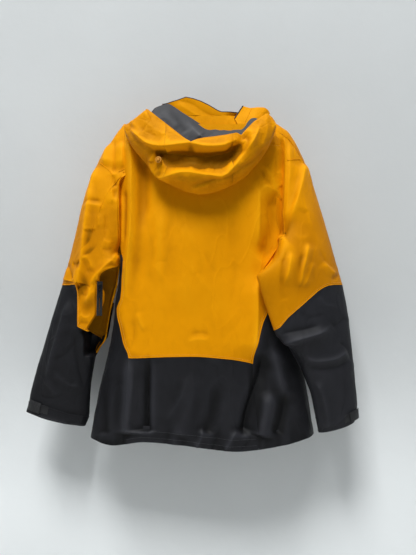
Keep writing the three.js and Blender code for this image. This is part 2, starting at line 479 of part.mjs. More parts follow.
for (const side of ["left", "right"]) {
  const s = side === "left" ? 1 : -1, F = sleeve(side), seam = (th) => SEAM_V[side] - SEAM_TILT * Math.cos(THREE.MathUtils.degToRad(th));
  const tube = (v0, v1, nu, nv, near, far) => {
    const A = [], B = [];
    for (let i = 0; i < nu; i++) {
      const th = (360 * i) / nu, a = [], b = [];
      for (let j = 0; j <= nv; j++) { const v = mix(v0(th), v1(th), j / nv); a.push(F(v, th, near)); b.push(F(v, th, far)); }
      A.push(a); B.push(b);
    }
    return sheetGeometry(A, B, true);
  };
  add(side + "_upper_sleeve", tube(() => 0.002, (th) => seam(th) - 0.0015, 16, 9, 0, -CLOTH), YELLOW);
  add(side + "_lower_sleeve", tube((th) => seam(th) + 0.0015, () => CUFF_V - 0.001, 16, 5, 0, -CLOTH), BLACK);
  add(side + "_cuff", tube(() => CUFF_V + 0.001, () => 1, 16, 2, 0, -CLOTH), BLACK);
  // the elbow bends about the front of the colour seam
  {
    const o = F(seam(0), 0), i = F(seam(180), 180), f = s > 0 ? F(seam(270), 270) : F(seam(90), 90);
    const d = o.clone().sub(i); d.y = 0;
    // the hinge lies just clear of the seam's furthest point to the front (left) or to the back (right)
    for (let th = 0; th < 360; th += 22.5) { const y = F(seam(th), th).y; f.y = s > 0 ? Math.min(f.y, y) : Math.max(f.y, y); }
    f.y -= s * 1.2;
    zipInfo[side + "_elbow"] = { pivot: f.toArray(), along: d.normalize().toArray(), back: F(seam(90), 90).toArray(), outer: o.toArray(), inner: i.toArray() };
  }
  // hook patch on the cuff and the tab that closes over it
  const strip = (v0, v1, t0, t1, nv, nu, near, far) => {
    const A = [], B = [];
    for (let i = 0; i <= nu; i++) { const th = mix(t0, t1, i / nu), a = [], b = []; for (let j = 0; j <= nv; j++) { const v = mix(v0, v1, j / nv); a.push(F(v, th, near)); b.push(F(v, th, far)); } A.push(a); B.push(b); }
    return sheetGeometry(A, B);
  };
  add(side + "_cuff_patch", strip(0.957, 0.986, 16, 74, 1, 6, 0.7, 1.5), TAPE);
  add(side + "_cuff_tab", strip(0.953, 0.99, 8, 58, 1, 6, 2.1, 3.9), PLASTIC);
  const h0 = F(0.953, 8, 2.5), h1 = F(0.99, 8, 2.5);
  zipInfo[side + "_cuff_tab"] = { pivot: h0.toArray(), axis: h1.clone().sub(h0).normalize().toArray() };
  // underarm zip on the back of the upper sleeve
  const P = side === "left" ? [0.608, 131, 0.488, 114] : [0.5, 205, 0.37, 180];
  const a = F(P[0], P[1]), b = F(P[2], P[3]), vm = (P[0] + P[2]) / 2, tm = (P[1] + P[3]) / 2;
  const n = F(vm, tm + 3).sub(F(vm, tm - 3)).cross(F(vm + 0.01, tm).sub(F(vm - 0.01, tm))).normalize(), cM = F(vm, 0).add(F(vm, 180)).multiplyScalar(0.5);
  if (n.dot(F(vm, tm).sub(cM)) < 0) n.negate();
  let f = zipFrame(a, b, n);
  const L = a.distanceTo(b), inv = f.clone().invert();
  let high = -99;
  for (let v = Math.min(P[0], P[2]) - 0.02; v <= Math.max(P[0], P[2]) + 0.02; v += 0.01) for (let th = Math.min(P[1], P[3]) - 40; th <= Math.max(P[1], P[3]) + 40; th += 2) {
    const q = F(v, th).applyMatrix4(inv);
    if (Math.abs(q.x) < 8 && q.y > -3 && q.y < L + 3) high = Math.max(high, q.z);
  }
  const lift = high + TAPE_T + COIL_T + 2.4;
  f = f.multiply(new THREE.Matrix4().makeTranslation(0, 0, lift));
  add(side + "_pit_zip", place(closedZip(L, 7), f), TAPE);
  addSlider(side + "_pit_zip", f, L - 14);
  zipInfo[side + "_pit_zip"].length = L; zipInfo[side + "_pit_zip"].lift = lift;
}

// ---- hood, hanging down the back ----
// rows: x, rim height, bottom height, furthest reach to the back
const HOOD = [
  [188, -50, -78, 76], [172, -44, -100, 86], [150, -34, -128, 98], [118, -29, -163, 112], [80, -61, -193, 124], [27, -101, -215, 132], [-26, -87, -214, 132],
  [-79, -79, -192, 124], [-119, -52, -160, 110], [-145, -36, -127, 98], [-160, -44, -100, 86], [-173, -56, -84, 78],
];
const hoodRow = curve(HOOD);
const hoodSection = (x, w, off = 0) => {
  // w runs from the rim over the outside, round the bottom, and up the back of the yoke
  const zr = hoodRow(x, 1), zb = hoodRow(x, 2), ym = hoodRow(x, 3), yi = (z) => backDepth(z) + 6, H = zr - zb;
  const pts = [
    [ym - 14, zr], [ym - 4, zr - 0.22 * H], [ym, zr - 0.5 * H], [ym - 2, zr - 0.78 * H], [mix(yi(zb), ym, 0.62), zb + 0.04 * H + 2],
    [mix(yi(zb), ym, 0.3), zb], [yi(zb + 12) + 1, zb + 0.1 * H + 5], [yi(zb + 0.45 * H), zb + 0.45 * H], [yi(-40), Math.max(zr, -40) + 4],
  ];
  const c = new THREE.CatmullRomCurve3(pts.map(([y, z]) => V(0, y, z)), false, "centripetal");
  const p = c.getPoint(w), t = c.getTangent(w), n = V(0, -t.z, t.y); // towards the outside of the pouch
  return V(x, p.y + n.y * off, p.z + n.z * off);
};
const hoodSheet = (x0, x1, nx, w0, w1, nw, near, far) => {
  const A = [], B = [];
  for (let i = 0; i <= nx; i++) { const x = mix(x0, x1, i / nx), a = [], b = []; for (let j = 0; j <= nw; j++) { const w = mix(w0, w1, j / nw); a.push(hoodSection(x, w, near)); b.push(hoodSection(x, w, far)); } A.push(a); B.push(b); }
  return sheetGeometry(A, B);
};
add("hood_left_panel", hoodSheet(188, 88 + GAP, 5, 0, 1, 12, 0, -CLOTH), YELLOW);
add("hood_centre_panel", hoodSheet(88 - GAP, -72 + GAP, 7, 0, 1, 12, 0, -CLOTH), YELLOW);
add("hood_right_panel", hoodSheet(-72 - GAP, -173, 5, 0, 1, 12, 0, -CLOTH), YELLOW);
add("hood_lining", hoodSheet(172, -160, 12, 0.004, 0.985, 11, -CLOTH - 4, -CLOTH - 5.4), GREY);
add("hood_brim", hoodSheet(80, -64, 6, 0.02, 0.1, 1, -CLOTH - 1.2, -CLOTH - 2.4), PLASTIC);
// cord lock on the back of the hood, moulded in the shell's colour, and its button
{
  const x = 104, w = 0.34, c = hoodSection(x, w), o = hoodSection(x, w, 1).sub(c).normalize(), t = V(1, 0, 0);
  const tx = hoodSection(x + 6, w).sub(hoodSection(x - 6, w)).normalize(), up = o.clone().cross(tx).normalize(), oo = tx.clone().cross(up).normalize();
  if (oo.dot(o) < 0) oo.negate();
  const f = new THREE.Matrix4().makeBasis(tx, oo.clone().cross(tx).normalize(), oo).setPosition(c.clone().addScaledVector(oo, 1.6));
  const base = cut(union(cyl(8, 4.2, 16).rotateX(Math.PI / 2).translate(0, 0, 2.1)), cyl(4.4, 6, 16).rotateX(Math.PI / 2).translate(0, 0, 4.8));
  add("hood_cord_lock", place(base, f), YPLAST);
  add("hood_lock_button", place(cyl(4, 3.4, 16).rotateX(Math.PI / 2).translate(0, 0, 4.6), f), YPLAST);
  const e = f.elements;
  zipInfo.hood_lock_button = { centre: V(0, 0, 4.6).applyMatrix4(f).toArray(), out: [e[8], e[9], e[10]] };
}

export { zipInfo };
export default root;
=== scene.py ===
import json
import math

import bpy
import numpy as np
from mathutils import Matrix, Vector


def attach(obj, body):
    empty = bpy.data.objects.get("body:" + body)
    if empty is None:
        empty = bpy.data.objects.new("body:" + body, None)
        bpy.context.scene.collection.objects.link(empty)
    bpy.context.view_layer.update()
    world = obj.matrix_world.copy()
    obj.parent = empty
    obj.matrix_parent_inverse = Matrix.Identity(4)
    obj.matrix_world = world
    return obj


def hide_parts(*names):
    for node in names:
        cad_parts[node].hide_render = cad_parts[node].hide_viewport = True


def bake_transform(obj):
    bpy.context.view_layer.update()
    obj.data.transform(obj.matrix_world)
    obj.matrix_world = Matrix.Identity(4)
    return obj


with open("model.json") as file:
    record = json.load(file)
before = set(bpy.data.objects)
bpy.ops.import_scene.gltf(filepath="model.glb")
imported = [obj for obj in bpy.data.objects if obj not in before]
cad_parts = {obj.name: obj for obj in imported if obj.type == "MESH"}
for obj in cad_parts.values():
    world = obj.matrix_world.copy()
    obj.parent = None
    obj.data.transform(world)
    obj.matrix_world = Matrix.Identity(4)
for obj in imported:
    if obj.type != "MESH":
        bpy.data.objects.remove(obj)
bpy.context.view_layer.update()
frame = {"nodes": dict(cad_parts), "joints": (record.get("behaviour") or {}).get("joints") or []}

# ------------------------------------------------------------------ camera
XC, ZC, YREF, DIST, MMPX = -12.5, -412.0, 30.0, 1750.0, 2.5
scene = bpy.context.scene
cam_data = bpy.data.cameras.new("camera")
cam = bpy.data.objects.new("camera", cam_data)
scene.collection.objects.link(cam)
cam.location = (XC / 1000, (DIST + YREF) / 1000, ZC / 1000 - 0.0018)
cam.rotation_euler = (math.radians(90), 0, math.radians(180))
cam_data.sensor_width = 36
cam_data.lens = 36 * DIST / (555 * MMPX)
cam_data.clip_end = 50
scene.camera = cam


def project(P):
    """photo pixels of points in mm"""
    k = DIST / (DIST + YREF - P[..., 1])
    return 208 - (P[..., 0] - XC) / MMPX * k, 277.5 - (P[..., 2] - ZC) / MMPX * k


def unproject(px, py, y):
    k = (DIST + YREF - np.asarray(y, float)) / DIST
    return XC + (208 - np.asarray(px, float)) * MMPX * k, ZC + (277.5 - np.asarray(py, float)) * MMPX * k


# ------------------------------------------------------------------ tools
def curve(rows):
    r = np.array(sorted(rows, key=lambda a: a[0]), float)
    k, V = r[:, 0], r[:, 1:]
    h = np.diff(k)
    d = np.diff(V, axis=0) / h[:, None]
    m = np.zeros_like(V)
    m[0], m[-1] = d[0], d[-1]
    for i in range(1, len(k) - 1):
        a, b = d[i - 1], d[i]
        with np.errstate(divide="ignore", invalid="ignore"):
            m[i] = np.where(a * b <= 0, 0, 2 * a * b / (a + b))

    def f(x, col=0):
        x = np.asarray(x, float)
        xx = np.clip(x, k[0], k[-1])
        i = np.clip(np.searchsorted(k, xx, side="right") - 1, 0, len(k) - 2)
        t = (xx - k[i]) / h[i]
        t2, t3 = t * t, t * t * t
        return (2 * t3 - 3 * t2 + 1) * V[i, col] + (t3 - 2 * t2 + t) * h[i] * m[i, col] + (-2 * t3 + 3 * t2) * V[i + 1, col] + (t3 - t2) * h[i] * m[i + 1, col]

    return f


def lin(rows):
    r = np.array(sorted(rows, key=lambda a: a[0]), float)
    return lambda x: np.interp(np.asarray(x, float), r[:, 0], r[:, 1])


def smooth(a, b, x):
    t = np.clip((np.asarray(x, float) - a) / (b - a), 0, 1)
    return t * t * (3 - 2 * t)


def lattice(ix, iy, iz, seed, c):
    h = (ix.astype(np.uint32) * np.uint32(374761393)) ^ (iy.astype(np.uint32) * np.uint32(668265263)) ^ (iz.astype(np.uint32) * np.uint32(2246822519)) ^ np.uint32((seed * 40503 + c * 9973 + 12345) & 0xFFFFFFFF)
    h ^= h >> np.uint32(13)
    h = h * np.uint32(1274126177)
    h ^= h >> np.uint32(16)
    h = h * np.uint32(2654435769)
    h ^= h >> np.uint32(15)
    return h.astype(np.float64) / 2147483647.5 - 1.0


def noise(P, scale, seed=0):
    """smooth gradient noise of points in mm, in about -1 to 1; scale is the feature size, one number or three"""
    Q = P / np.asarray(scale, float)
    I = np.floor(Q)
    F = Q - I
    I = I.astype(np.int64)
    W = F * F * F * (F * (F * 6 - 15) + 10)
    out = np.zeros(P.shape[:-1])
    with np.errstate(over="ignore"):
        for dx in (0, 1):
            for dy in (0, 1):
                for dz in (0, 1):
                    a = [lattice(I[..., 0] + dx, I[..., 1] + dy, I[..., 2] + dz, seed, c) for c in range(3)]
                    g = a[0] * (F[..., 0] - dx) + a[1] * (F[..., 1] - dy) + a[2] * (F[..., 2] - dz)
                    w = (W[..., 0] if dx else 1 - W[..., 0]) * (W[..., 1] if dy else 1 - W[..., 1]) * (W[..., 2] if dz else 1 - W[..., 2])
                    out += g * w
    return out * 1.6


def creases(P, scale, seed, sharp=5.0):
    """thin crumple lines, 0 to 1"""
    n = noise(P, scale, seed) + 0.35 * noise(P, np.asarray(scale, float) * 0.45, seed + 7)
    m = np.clip(0.5 + 0.9 * noise(P, np.asarray(scale, float) * 2.1, seed + 31), 0, 1)
    return np.clip(1 - np.abs(n) * 2.2, 0, 1) ** sharp * m


def polyline(points):
    p = np.array(points, float)
    s = np.concatenate([[0], np.cumsum(np.linalg.norm(np.diff(p, axis=0), axis=1))])
    return p, s


def smooth_line(points, n=28):
    p, s = polyline(points)
    if len(p) < 3:
        return p
    f = curve([(a, *b) for a, b in zip(s, p)])
    t = np.linspace(0, s[-1], n)
    return np.stack([f(t, 0), f(t, 1)], -1)


def to_line(u, v, points):
    """signed distance to a drawn line (positive on its left going along, in picture coordinates) and how far along it, 0 to 1"""
    p = smooth_line(points)
    seg = np.diff(p, axis=0)
    L = np.linalg.norm(seg, axis=1)
    S = np.concatenate([[0], np.cumsum(L)])
    best = np.full(u.shape, 1e9)
    side = np.ones(u.shape)
    along = np.zeros(u.shape)
    for i in range(len(seg)):
        dx, dy = u - p[i, 0], v - p[i, 1]
        t = np.clip((dx * seg[i, 0] + dy * seg[i, 1]) / (L[i] ** 2 + 1e-12), 0, 1)
        ex, ey = dx - t * seg[i, 0], dy - t * seg[i, 1]
        d = np.hypot(ex, ey)
        hit = d < best
        best = np.where(hit, d, best)
        cr = seg[i, 0] * dy - seg[i, 1] * dx
        side = np.where(hit, np.where(cr > 0, -1.0, 1.0), side)
        along = np.where(hit, (S[i] + t * L[i]) / S[-1], along)
    return best * side, along


def taper(t, a, b):
    w = np.ones_like(t)
    if a > 0:
        w = w * smooth(0, a, t)
    if b > 0:
        w = w * smooth(0, b, 1 - t)
    return w


def strokes(u, v, rows, gain=1.0):
    """heights from drawn folds; each row: kind, amplitude mm, width on the left px, width on the right px, points, taper at both ends"""
    out = np.zeros(u.shape)
    for kind, amp, wl, wr, pts, ta, tb in rows:
        q = np.array(pts, float)
        if max(wl, wr) <= 4.0:
            amp = amp * 0.62
        elif max(wl, wr) > 4.5:
            amp = amp * gain
        reach = 4.5 * max(wl, wr) + 3
        m = (u > q[:, 0].min() - reach) & (u < q[:, 0].max() + reach) & (v > q[:, 1].min() - reach) & (v < q[:, 1].max() + reach)
        if not m.any():
            continue
        d, t = to_line(u[m], v[m], pts)
        end = np.where((t <= 0.0005) | (t >= 0.9995), np.abs(d), 0)
        dx, dy = q[-1, 0] - q[0, 0], q[-1, 1] - q[0, 1]
        # the first width is for the left of a line that runs down the picture, or above one that runs across it
        positive_is_second = (dy > 0) if abs(dy) > abs(dx) else (dx < 0)
        w = np.where((d > 0) == positive_is_second, wr, wl)
        if kind == "fold":  # a crest (or a valley) with a crisp line and soft sides
            e = 0.7
            h = np.exp(-(np.sqrt(d * d + e * e) - e) / w)
        elif kind == "soft":
            h = np.exp(-((d / w) ** 2))
        elif kind == "cliff":  # the right side drops away and comes back over wr
            h = 1 / (1 + np.exp(np.clip(d / 0.45, -30, 30))) * np.exp(-np.clip(-d, 0, None) / wr)
        h = h * taper(t, ta, tb) * np.exp(-((end / (0.8 * w + 1e-6)) ** 2))
        out[m] += amp * h
    return out


def grid_normals(P, wrap):
    if wrap:
        du = np.roll(P, -1, 0) - np.roll(P, 1, 0)
    else:
        du = np.gradient(P, axis=0)
    dv = np.gradient(P, axis=1)
    n = np.cross(du, dv)
    L = np.linalg.norm(n, axis=-1, keepdims=True)
    return n / np.maximum(L, 1e-9)


def new_mesh(name, verts, faces, material, attrs=None, angle=38):
    me = bpy.data.meshes.new(name)
    me.from_pydata(verts.tolist() if hasattr(verts, "tolist") else verts, [], faces.tolist() if hasattr(faces, "tolist") else faces)
    me.validate()
    me.polygons.foreach_set("use_smooth", [True] * len(me.polygons))
    me.set_sharp_from_angle(angle=math.radians(angle))
    for k, a in (attrs or {}).items():
        at = me.attributes.new(k, "FLOAT", "POINT")
        at.data.foreach_set("value", np.asarray(a, np.float32).ravel())
    me.materials.append(material)
    ob = bpy.data.objects.new(name, me)
    scene.collection.objects.link(ob)
    return ob


def cloth(name, P, toward, thick, material, wrap=False, fold=None):
    """a closed sheet: P is the outer face (nu, nv, 3) in mm, toward(P) points to the outside; thick in mm"""
    n = grid_normals(P, wrap)
    t = toward(P) if callable(toward) else np.broadcast_to(np.asarray(toward, float), P.shape)
    if (n * t).sum() < 0:
        n = -n
    nu, nv = P.shape[:2]
    Q = P - n * thick
    V = np.concatenate([P.reshape(-1, 3), Q.reshape(-1, 3)]) / 1000
    N = nu * nv
    I = np.arange(nu if wrap else nu - 1)[:, None]
    J = np.arange(nv - 1)[None, :]
    a, b = (I % nu) * nv + J, ((I + 1) % nu) * nv + J
    outer = np.stack([a, b, b + 1, a + 1], -1).reshape(-1, 4)
    inner = np.stack([a, a + 1, b + 1, b], -1).reshape(-1, 4) + N
    fs = [outer, inner]
    i = np.arange(nu if wrap else nu - 1)
    o0, o1 = (i % nu) * nv, ((i + 1) % nu) * nv
    fs.append(np.stack([o0, o0 + N, o1 + N, o1], -1))
    fs.append(np.stack([o0 + nv - 1, o1 + nv - 1, o1 + nv - 1 + N, o0 + nv - 1 + N], -1))
    if not wrap:
        j = np.arange(nv - 1)
        fs.append(np.stack([j, j + 1, j + 1 + N, j + N], -1))
        k = (nu - 1) * nv + j
        fs.append(np.stack([k, k + N, k + 1 + N, k + 1], -1))
    F = np.concatenate(fs)
    # outside test on the middle of the sheet
    c = P[nu // 2, nv // 2]
    f0 = outer[(nu // 2 if wrap else min(nu // 2, nu - 2)) * (nv - 1) + min(nv // 2, nv - 2)]
    p = V[f0]
    if np.dot(np.cross(p[1] - p[0], p[2] - p[1]), n[nu // 2, nv // 2]) < 0:
        F = F[:, ::-1]
    # the fold attribute carries painted shade and painted highlight for the material's colour ramp; the inner face gets
    # none
    at = None
    if fold is not None:
        at = {"fold": np.concatenate([fold.ravel(), np.zeros(N)])}
    return new_mesh(name, V, F, material, at)


def tube_along(name, path, radius, material, sides=8, closed=False):
    """a round rod through points in mm"""
    p = np.array(path, float)
    n = len(p)
    t = np.gradient(p, axis=0)
    t /= np.linalg.norm(t, axis=1, keepdims=True)
    ref = np.array([0, 0, 1.0]) if abs(t[0, 2]) < 0.8 else np.array([0, 1.0, 0])
    V = []
    for i in range(n):
        b = np.cross(t[i], ref)
        b /= np.linalg.norm(b)
        c = np.cross(b, t[i])
        ref = c
        for k in range(sides):
            a = 2 * math.pi * k / sides
            V.append((p[i] + radius * (b * math.cos(a) + c * math.sin(a))) / 1000)
    F = []
    for i in range(n - 1):
        for k in range(sides):
            F.append([i * sides + k, i * sides + (k + 1) % sides, (i + 1) * sides + (k + 1) % sides, (i + 1) * sides + k])
    F.append([k for k in range(sides)][::-1])
    F.append([(n - 1) * sides + k for k in range(sides)])
    return new_mesh(name, np.array(V), F, material, angle=50)


# ------------------------------------------------------------------ materials
def nodes_of(name):
    m = bpy.data.materials.new(name)
    m.use_nodes = True
    nt = m.node_tree
    return m, nt, nt.nodes["Principled BSDF"]


def ramp(nt, fac, stops):
    r = nt.nodes.new("ShaderNodeValToRGB")
    e = r.color_ramp.elements
    while len(e) < len(stops):
        e.new(0.5)
    for el, (p, c) in zip(e, stops):
        el.position = p
        el.color = (*c, 1)
    nt.links.new(fac, r.inputs[0])
    return r.outputs[0]


def mathn(nt, op, a, b=None, c=None):
    n = nt.nodes.new("ShaderNodeMath")
    n.operation = op
    for i, x in enumerate((a, b, c)):
        if x is None:
            continue
        if hasattr(x, "links"):
            nt.links.new(x, n.inputs[i])
        else:
            n.inputs[i].default_value = x
    return n.outputs[0]


def fabric(name, dark, base, light, rough=0.6, spec=0.35, sheen=0.12, weave=0.55, crumple=0.5, fold_shade_gain=0.5, tint=(1, 1, 1), crease=0.3):
    """woven laminate: fine plain weave, soft crumple, folds painted a little lighter on crests (painted highlight) and
    darker in valleys (painted shade)
    """
    m, nt, b = nodes_of(name)
    tc = nt.nodes.new("ShaderNodeTexCoord")
    co = tc.outputs["Object"]
    big = nt.nodes.new("ShaderNodeTexNoise")
    big.inputs["Scale"].default_value = 9
    big.inputs["Detail"].default_value = 5
    big.inputs["Roughness"].default_value = 0.6
    nt.links.new(co, big.inputs["Vector"])
    # painted shade and highlight: the fold attribute moves the colour from the deep shade colour in valleys, through
    # dark and base, to light on crests; the big noise adds random tone
    at = nt.nodes.new("ShaderNodeAttribute")
    at.attribute_name = "fold"
    f = mathn(nt, "MULTIPLY_ADD", at.outputs["Fac"], fold_shade_gain, 0.5)
    f = mathn(nt, "ADD", f, mathn(nt, "MULTIPLY_ADD", big.outputs[0], 0.35, -0.175))
    deep_shade = tuple(c_ * 0.42 for c_ in dark)
    col = ramp(nt, f, [(0.0, deep_shade), (0.22, dark), (0.5, base), (1.0, light)])
    # weave: two crossed bands about half a millimetre apart
    bands = []
    for d in ("X", "Z"):
        w = nt.nodes.new("ShaderNodeTexWave")
        w.bands_direction = d
        w.inputs["Scale"].default_value = 1 / (0.00075 * 2 * math.pi) / 1.0
        w.inputs["Distortion"].default_value = 0.6
        w.inputs["Detail"].default_value = 1
        nt.links.new(co, w.inputs["Vector"])
        bands.append(w.outputs["Fac"])
    wv = mathn(nt, "ADD", bands[0], bands[1])
    fine = nt.nodes.new("ShaderNodeTexNoise")
    fine.inputs["Scale"].default_value = 900
    fine.inputs["Detail"].default_value = 2
    nt.links.new(co, fine.inputs["Vector"])
    # each thread catches the light a little differently
    mixc = nt.nodes.new("ShaderNodeMix")
    mixc.data_type = "RGBA"
    mixc.blend_type = "MULTIPLY"
    mixc.inputs["Factor"].default_value = 0.16
    nt.links.new(col, mixc.inputs[6])
    nt.links.new(ramp(nt, mathn(nt, "MULTIPLY", wv, 0.5), [(0.1, (0.72, 0.72, 0.72)), (0.9, (1.12, 1.12, 1.12))]), mixc.inputs[7])
    nt.links.new(mixc.outputs[2], b.inputs["Base Color"])
    rr = mathn(nt, "MULTIPLY_ADD", big.outputs[0], 0.16, rough - 0.08)
    rr = mathn(nt, "ADD", rr, mathn(nt, "MULTIPLY_ADD", fine.outputs[0], 0.08, -0.04))
    nt.links.new(rr, b.inputs["Roughness"])
    b.inputs["Specular IOR Level"].default_value = spec
    b.inputs["Sheen Weight"].default_value = sheen
    b.inputs["Sheen Roughness"].default_value = 0.4
    b.inputs["Specular Tint"].default_value = (*tint, 1)
    b.inputs["Sheen Tint"].default_value = (*tint, 1)
    # crumple: ridged lines and soft lumps
    c1 = nt.nodes.new("ShaderNodeTexNoise")
    c1.noise_type = "RIDGED_MULTIFRACTAL"
    c1.inputs["Scale"].default_value = 16
    c1.inputs["Detail"].default_value = 4
    c1.inputs["Roughness"].default_value = 0.45
    c1.inputs["Distortion"].default_value = 0.4
    nt.links.new(co, c1.inputs["Vector"])
    c2 = nt.nodes.new("ShaderNodeTexNoise")
    c2.inputs["Scale"].default_value = 60
    c2.inputs["Detail"].default_value = 4
    nt.links.new(co, c2.inputs["Vector"])
    h = mathn(nt, "MULTIPLY", c1.outputs[0], 0.35 * crumple)
    h = mathn(nt, "ADD", h, mathn(nt, "MULTIPLY", c2.outputs[0], 0.45 * crumple))
    b1 = nt.nodes.new("ShaderNodeBump")
    b1.inputs["Strength"].default_value = 0.55
    b1.inputs["Distance"].default_value = 0.0012
    nt.links.new(h, b1.inputs["Height"])
    b2 = nt.nodes.new("ShaderNodeBump")
    b2.inputs["Strength"].default_value = 0.35 * weave
    b2.inputs["Distance"].default_value = 0.00012
    nt.links.new(mathn(nt, "ADD", wv, mathn(nt, "MULTIPLY", fine.outputs[0], 0.8)), b2.inputs["Height"])
    nt.links.new(b1.outputs[0], b2.inputs["Normal"])
    nt.links.new(b2.outputs[0], b.inputs["Normal"])
    return m


def moulded(name, base, rough=0.5, metallic=0.0, spec=0.4, grain=180, worn=(0.3, 0.3, 0.3)):
    m, nt, b = nodes_of(name)
    tc = nt.nodes.new("ShaderNodeTexCoord")
    n1 = nt.nodes.new("ShaderNodeTexNoise")
    n1.inputs["Scale"].default_value = grain
    n1.inputs["Detail"].default_value = 5
    nt.links.new(tc.outputs["Object"], n1.inputs["Vector"])
    n2 = nt.nodes.new("ShaderNodeTexNoise")
    n2.inputs["Scale"].default_value = 1600
    n2.inputs["Detail"].default_value = 2
    nt.links.new(tc.outputs["Object"], n2.inputs["Vector"])
    c = np.array(base)
    nt.links.new(ramp(nt, n1.outputs[0], [(0.3, tuple(c * 0.75)), (0.55, tuple(c)), (0.8, tuple(c * 0.75 + np.array(worn) * 0.12))]), b.inputs["Base Color"])
    nt.links.new(mathn(nt, "MULTIPLY_ADD", n1.outputs[0], 0.25, rough - 0.12), b.inputs["Roughness"])
    b.inputs["Metallic"].default_value = metallic
    b.inputs["Specular IOR Level"].default_value = spec
    bu = nt.nodes.new("ShaderNodeBump")
    bu.inputs["Strength"].default_value = 0.25
    bu.inputs["Distance"].default_value = 0.0001
    nt.links.new(n2.outputs[0], bu.inputs["Height"])
    nt.links.new(bu.outputs[0], b.inputs["Normal"])
    return m


# each fabric's dark colour is painted shade for fold valleys and its light colour is painted highlight for crests; base
# is the cloth's own colour, and random tone also moves between them
AMBER = fabric("amber_laminate", (0.49, 0.172, 0.0009), (0.72, 0.275, 0.0010), (0.88, 0.385, 0.004), rough=0.6, spec=0.25, sheen=0.03, fold_shade_gain=0.5, tint=(1.0, 0.72, 0.08), crumple=0.35)
BLACK = fabric("black_laminate", (0.004, 0.0041, 0.0052), (0.0108, 0.011, 0.0135), (0.027, 0.0275, 0.033), rough=0.62, sheen=0.02, spec=0.2, fold_shade_gain=0.5, crumple=0.35)
GREY = fabric("grey_lining", (0.012, 0.012, 0.013), (0.055, 0.055, 0.059), (0.11, 0.11, 0.115), rough=0.68, sheen=0.15, fold_shade_gain=0.55, crumple=0.35)
PALE = fabric("pale_backer", (0.30, 0.28, 0.27), (0.46, 0.43, 0.42), (0.56, 0.53, 0.52), rough=0.72, sheen=0.12, crumple=0.3)
TAPE = fabric("zip_tape", (0.004, 0.004, 0.005), (0.010, 0.010, 0.011), (0.03, 0.03, 0.032), rough=0.42, sheen=0.05, crumple=0.1)
THREAD = fabric("amber_thread", (0.6, 0.25, 0.01), (0.78, 0.36, 0.02), (0.85, 0.45, 0.05), rough=0.5, crumple=0.0)
BTHREAD = fabric("black_thread", (0.02, 0.02, 0.02), (0.045, 0.045, 0.05), (0.08, 0.08, 0.085), rough=0.5, crumple=0.0)
METAL = moulded("black_metal", (0.03, 0.03, 0.032), rough=0.34, metallic=0.9)
PLASTIC = moulded("black_plastic", (0.012, 0.012, 0.013), rough=0.45)
APLAST = moulded("amber_plastic", (0.5, 0.2, 0.003), rough=0.6)
RUBBER = moulded("tab_rubber", (0.011, 0.011, 0.012), rough=0.6, grain=300)

# ------------------------------------------------------------------ body surface
NECK, SLOPE, TOP, ROUND, ARMX, SN = 95.0, 0.33, -10.0, 58.0, 181.0, 2.6
halfw = curve([(0, 215), (-250, 216), (-325, 213), (-357, 207), (-378, 206), (-400, 208), (-431, 213), (-470, 222), (-495, 224), (-520, 226), (-545, 229), (-595, 238), (-707, 264), (-795, 281), (-840, 286)])
backd = curve([(20, 42), (-60, 50), (-120, 57), (-205, 63), (-355, 71), (-545, 76), (-840, 85)])
frontd = lambda z: 56 + 0.0442 * (-60 - np.asarray(z, float))
hemz = curve([(-292, -806), (-200, -824), (-82, -836), (42, -822), (142, -814), (225, -826), (292, -812)])


def ridge(x):
    a = np.abs(x)
    return np.where(a >= NECK, TOP - (a - NECK) * SLOPE, TOP + (NECK - a) * 1.2)


def rounding(x, z):
    t = np.clip((ridge(x) - z) / ROUND, 0, 1)
    return np.sqrt(np.clip(1 - (1 - t) ** 2, 0, 1))


def depth(x, z, back):
    d = backd(z) if back else frontd(z)
    q = np.clip(1 - np.clip(np.abs(x) / halfw(z), 0, 1) ** SN, 0, 1) ** (1 / SN)
    return d * q * rounding(x, z)


def angle_of(x, z):
    return np.degrees(np.arcsin(np.clip(np.clip(np.abs(x) / halfw(z), 0, 1) ** (SN / 2), 0, 1)))


def around(deg, z):
    a = np.radians(deg)
    s, c = np.sin(a), np.cos(a)
    y = np.where(c >= 0, backd(z), frontd(z)) * np.sign(c) * np.abs(c) ** (2 / SN)
    return np.stack([halfw(z) * np.sign(s) * np.abs(s) ** (2 / SN), y, z + 0 * y], -1)


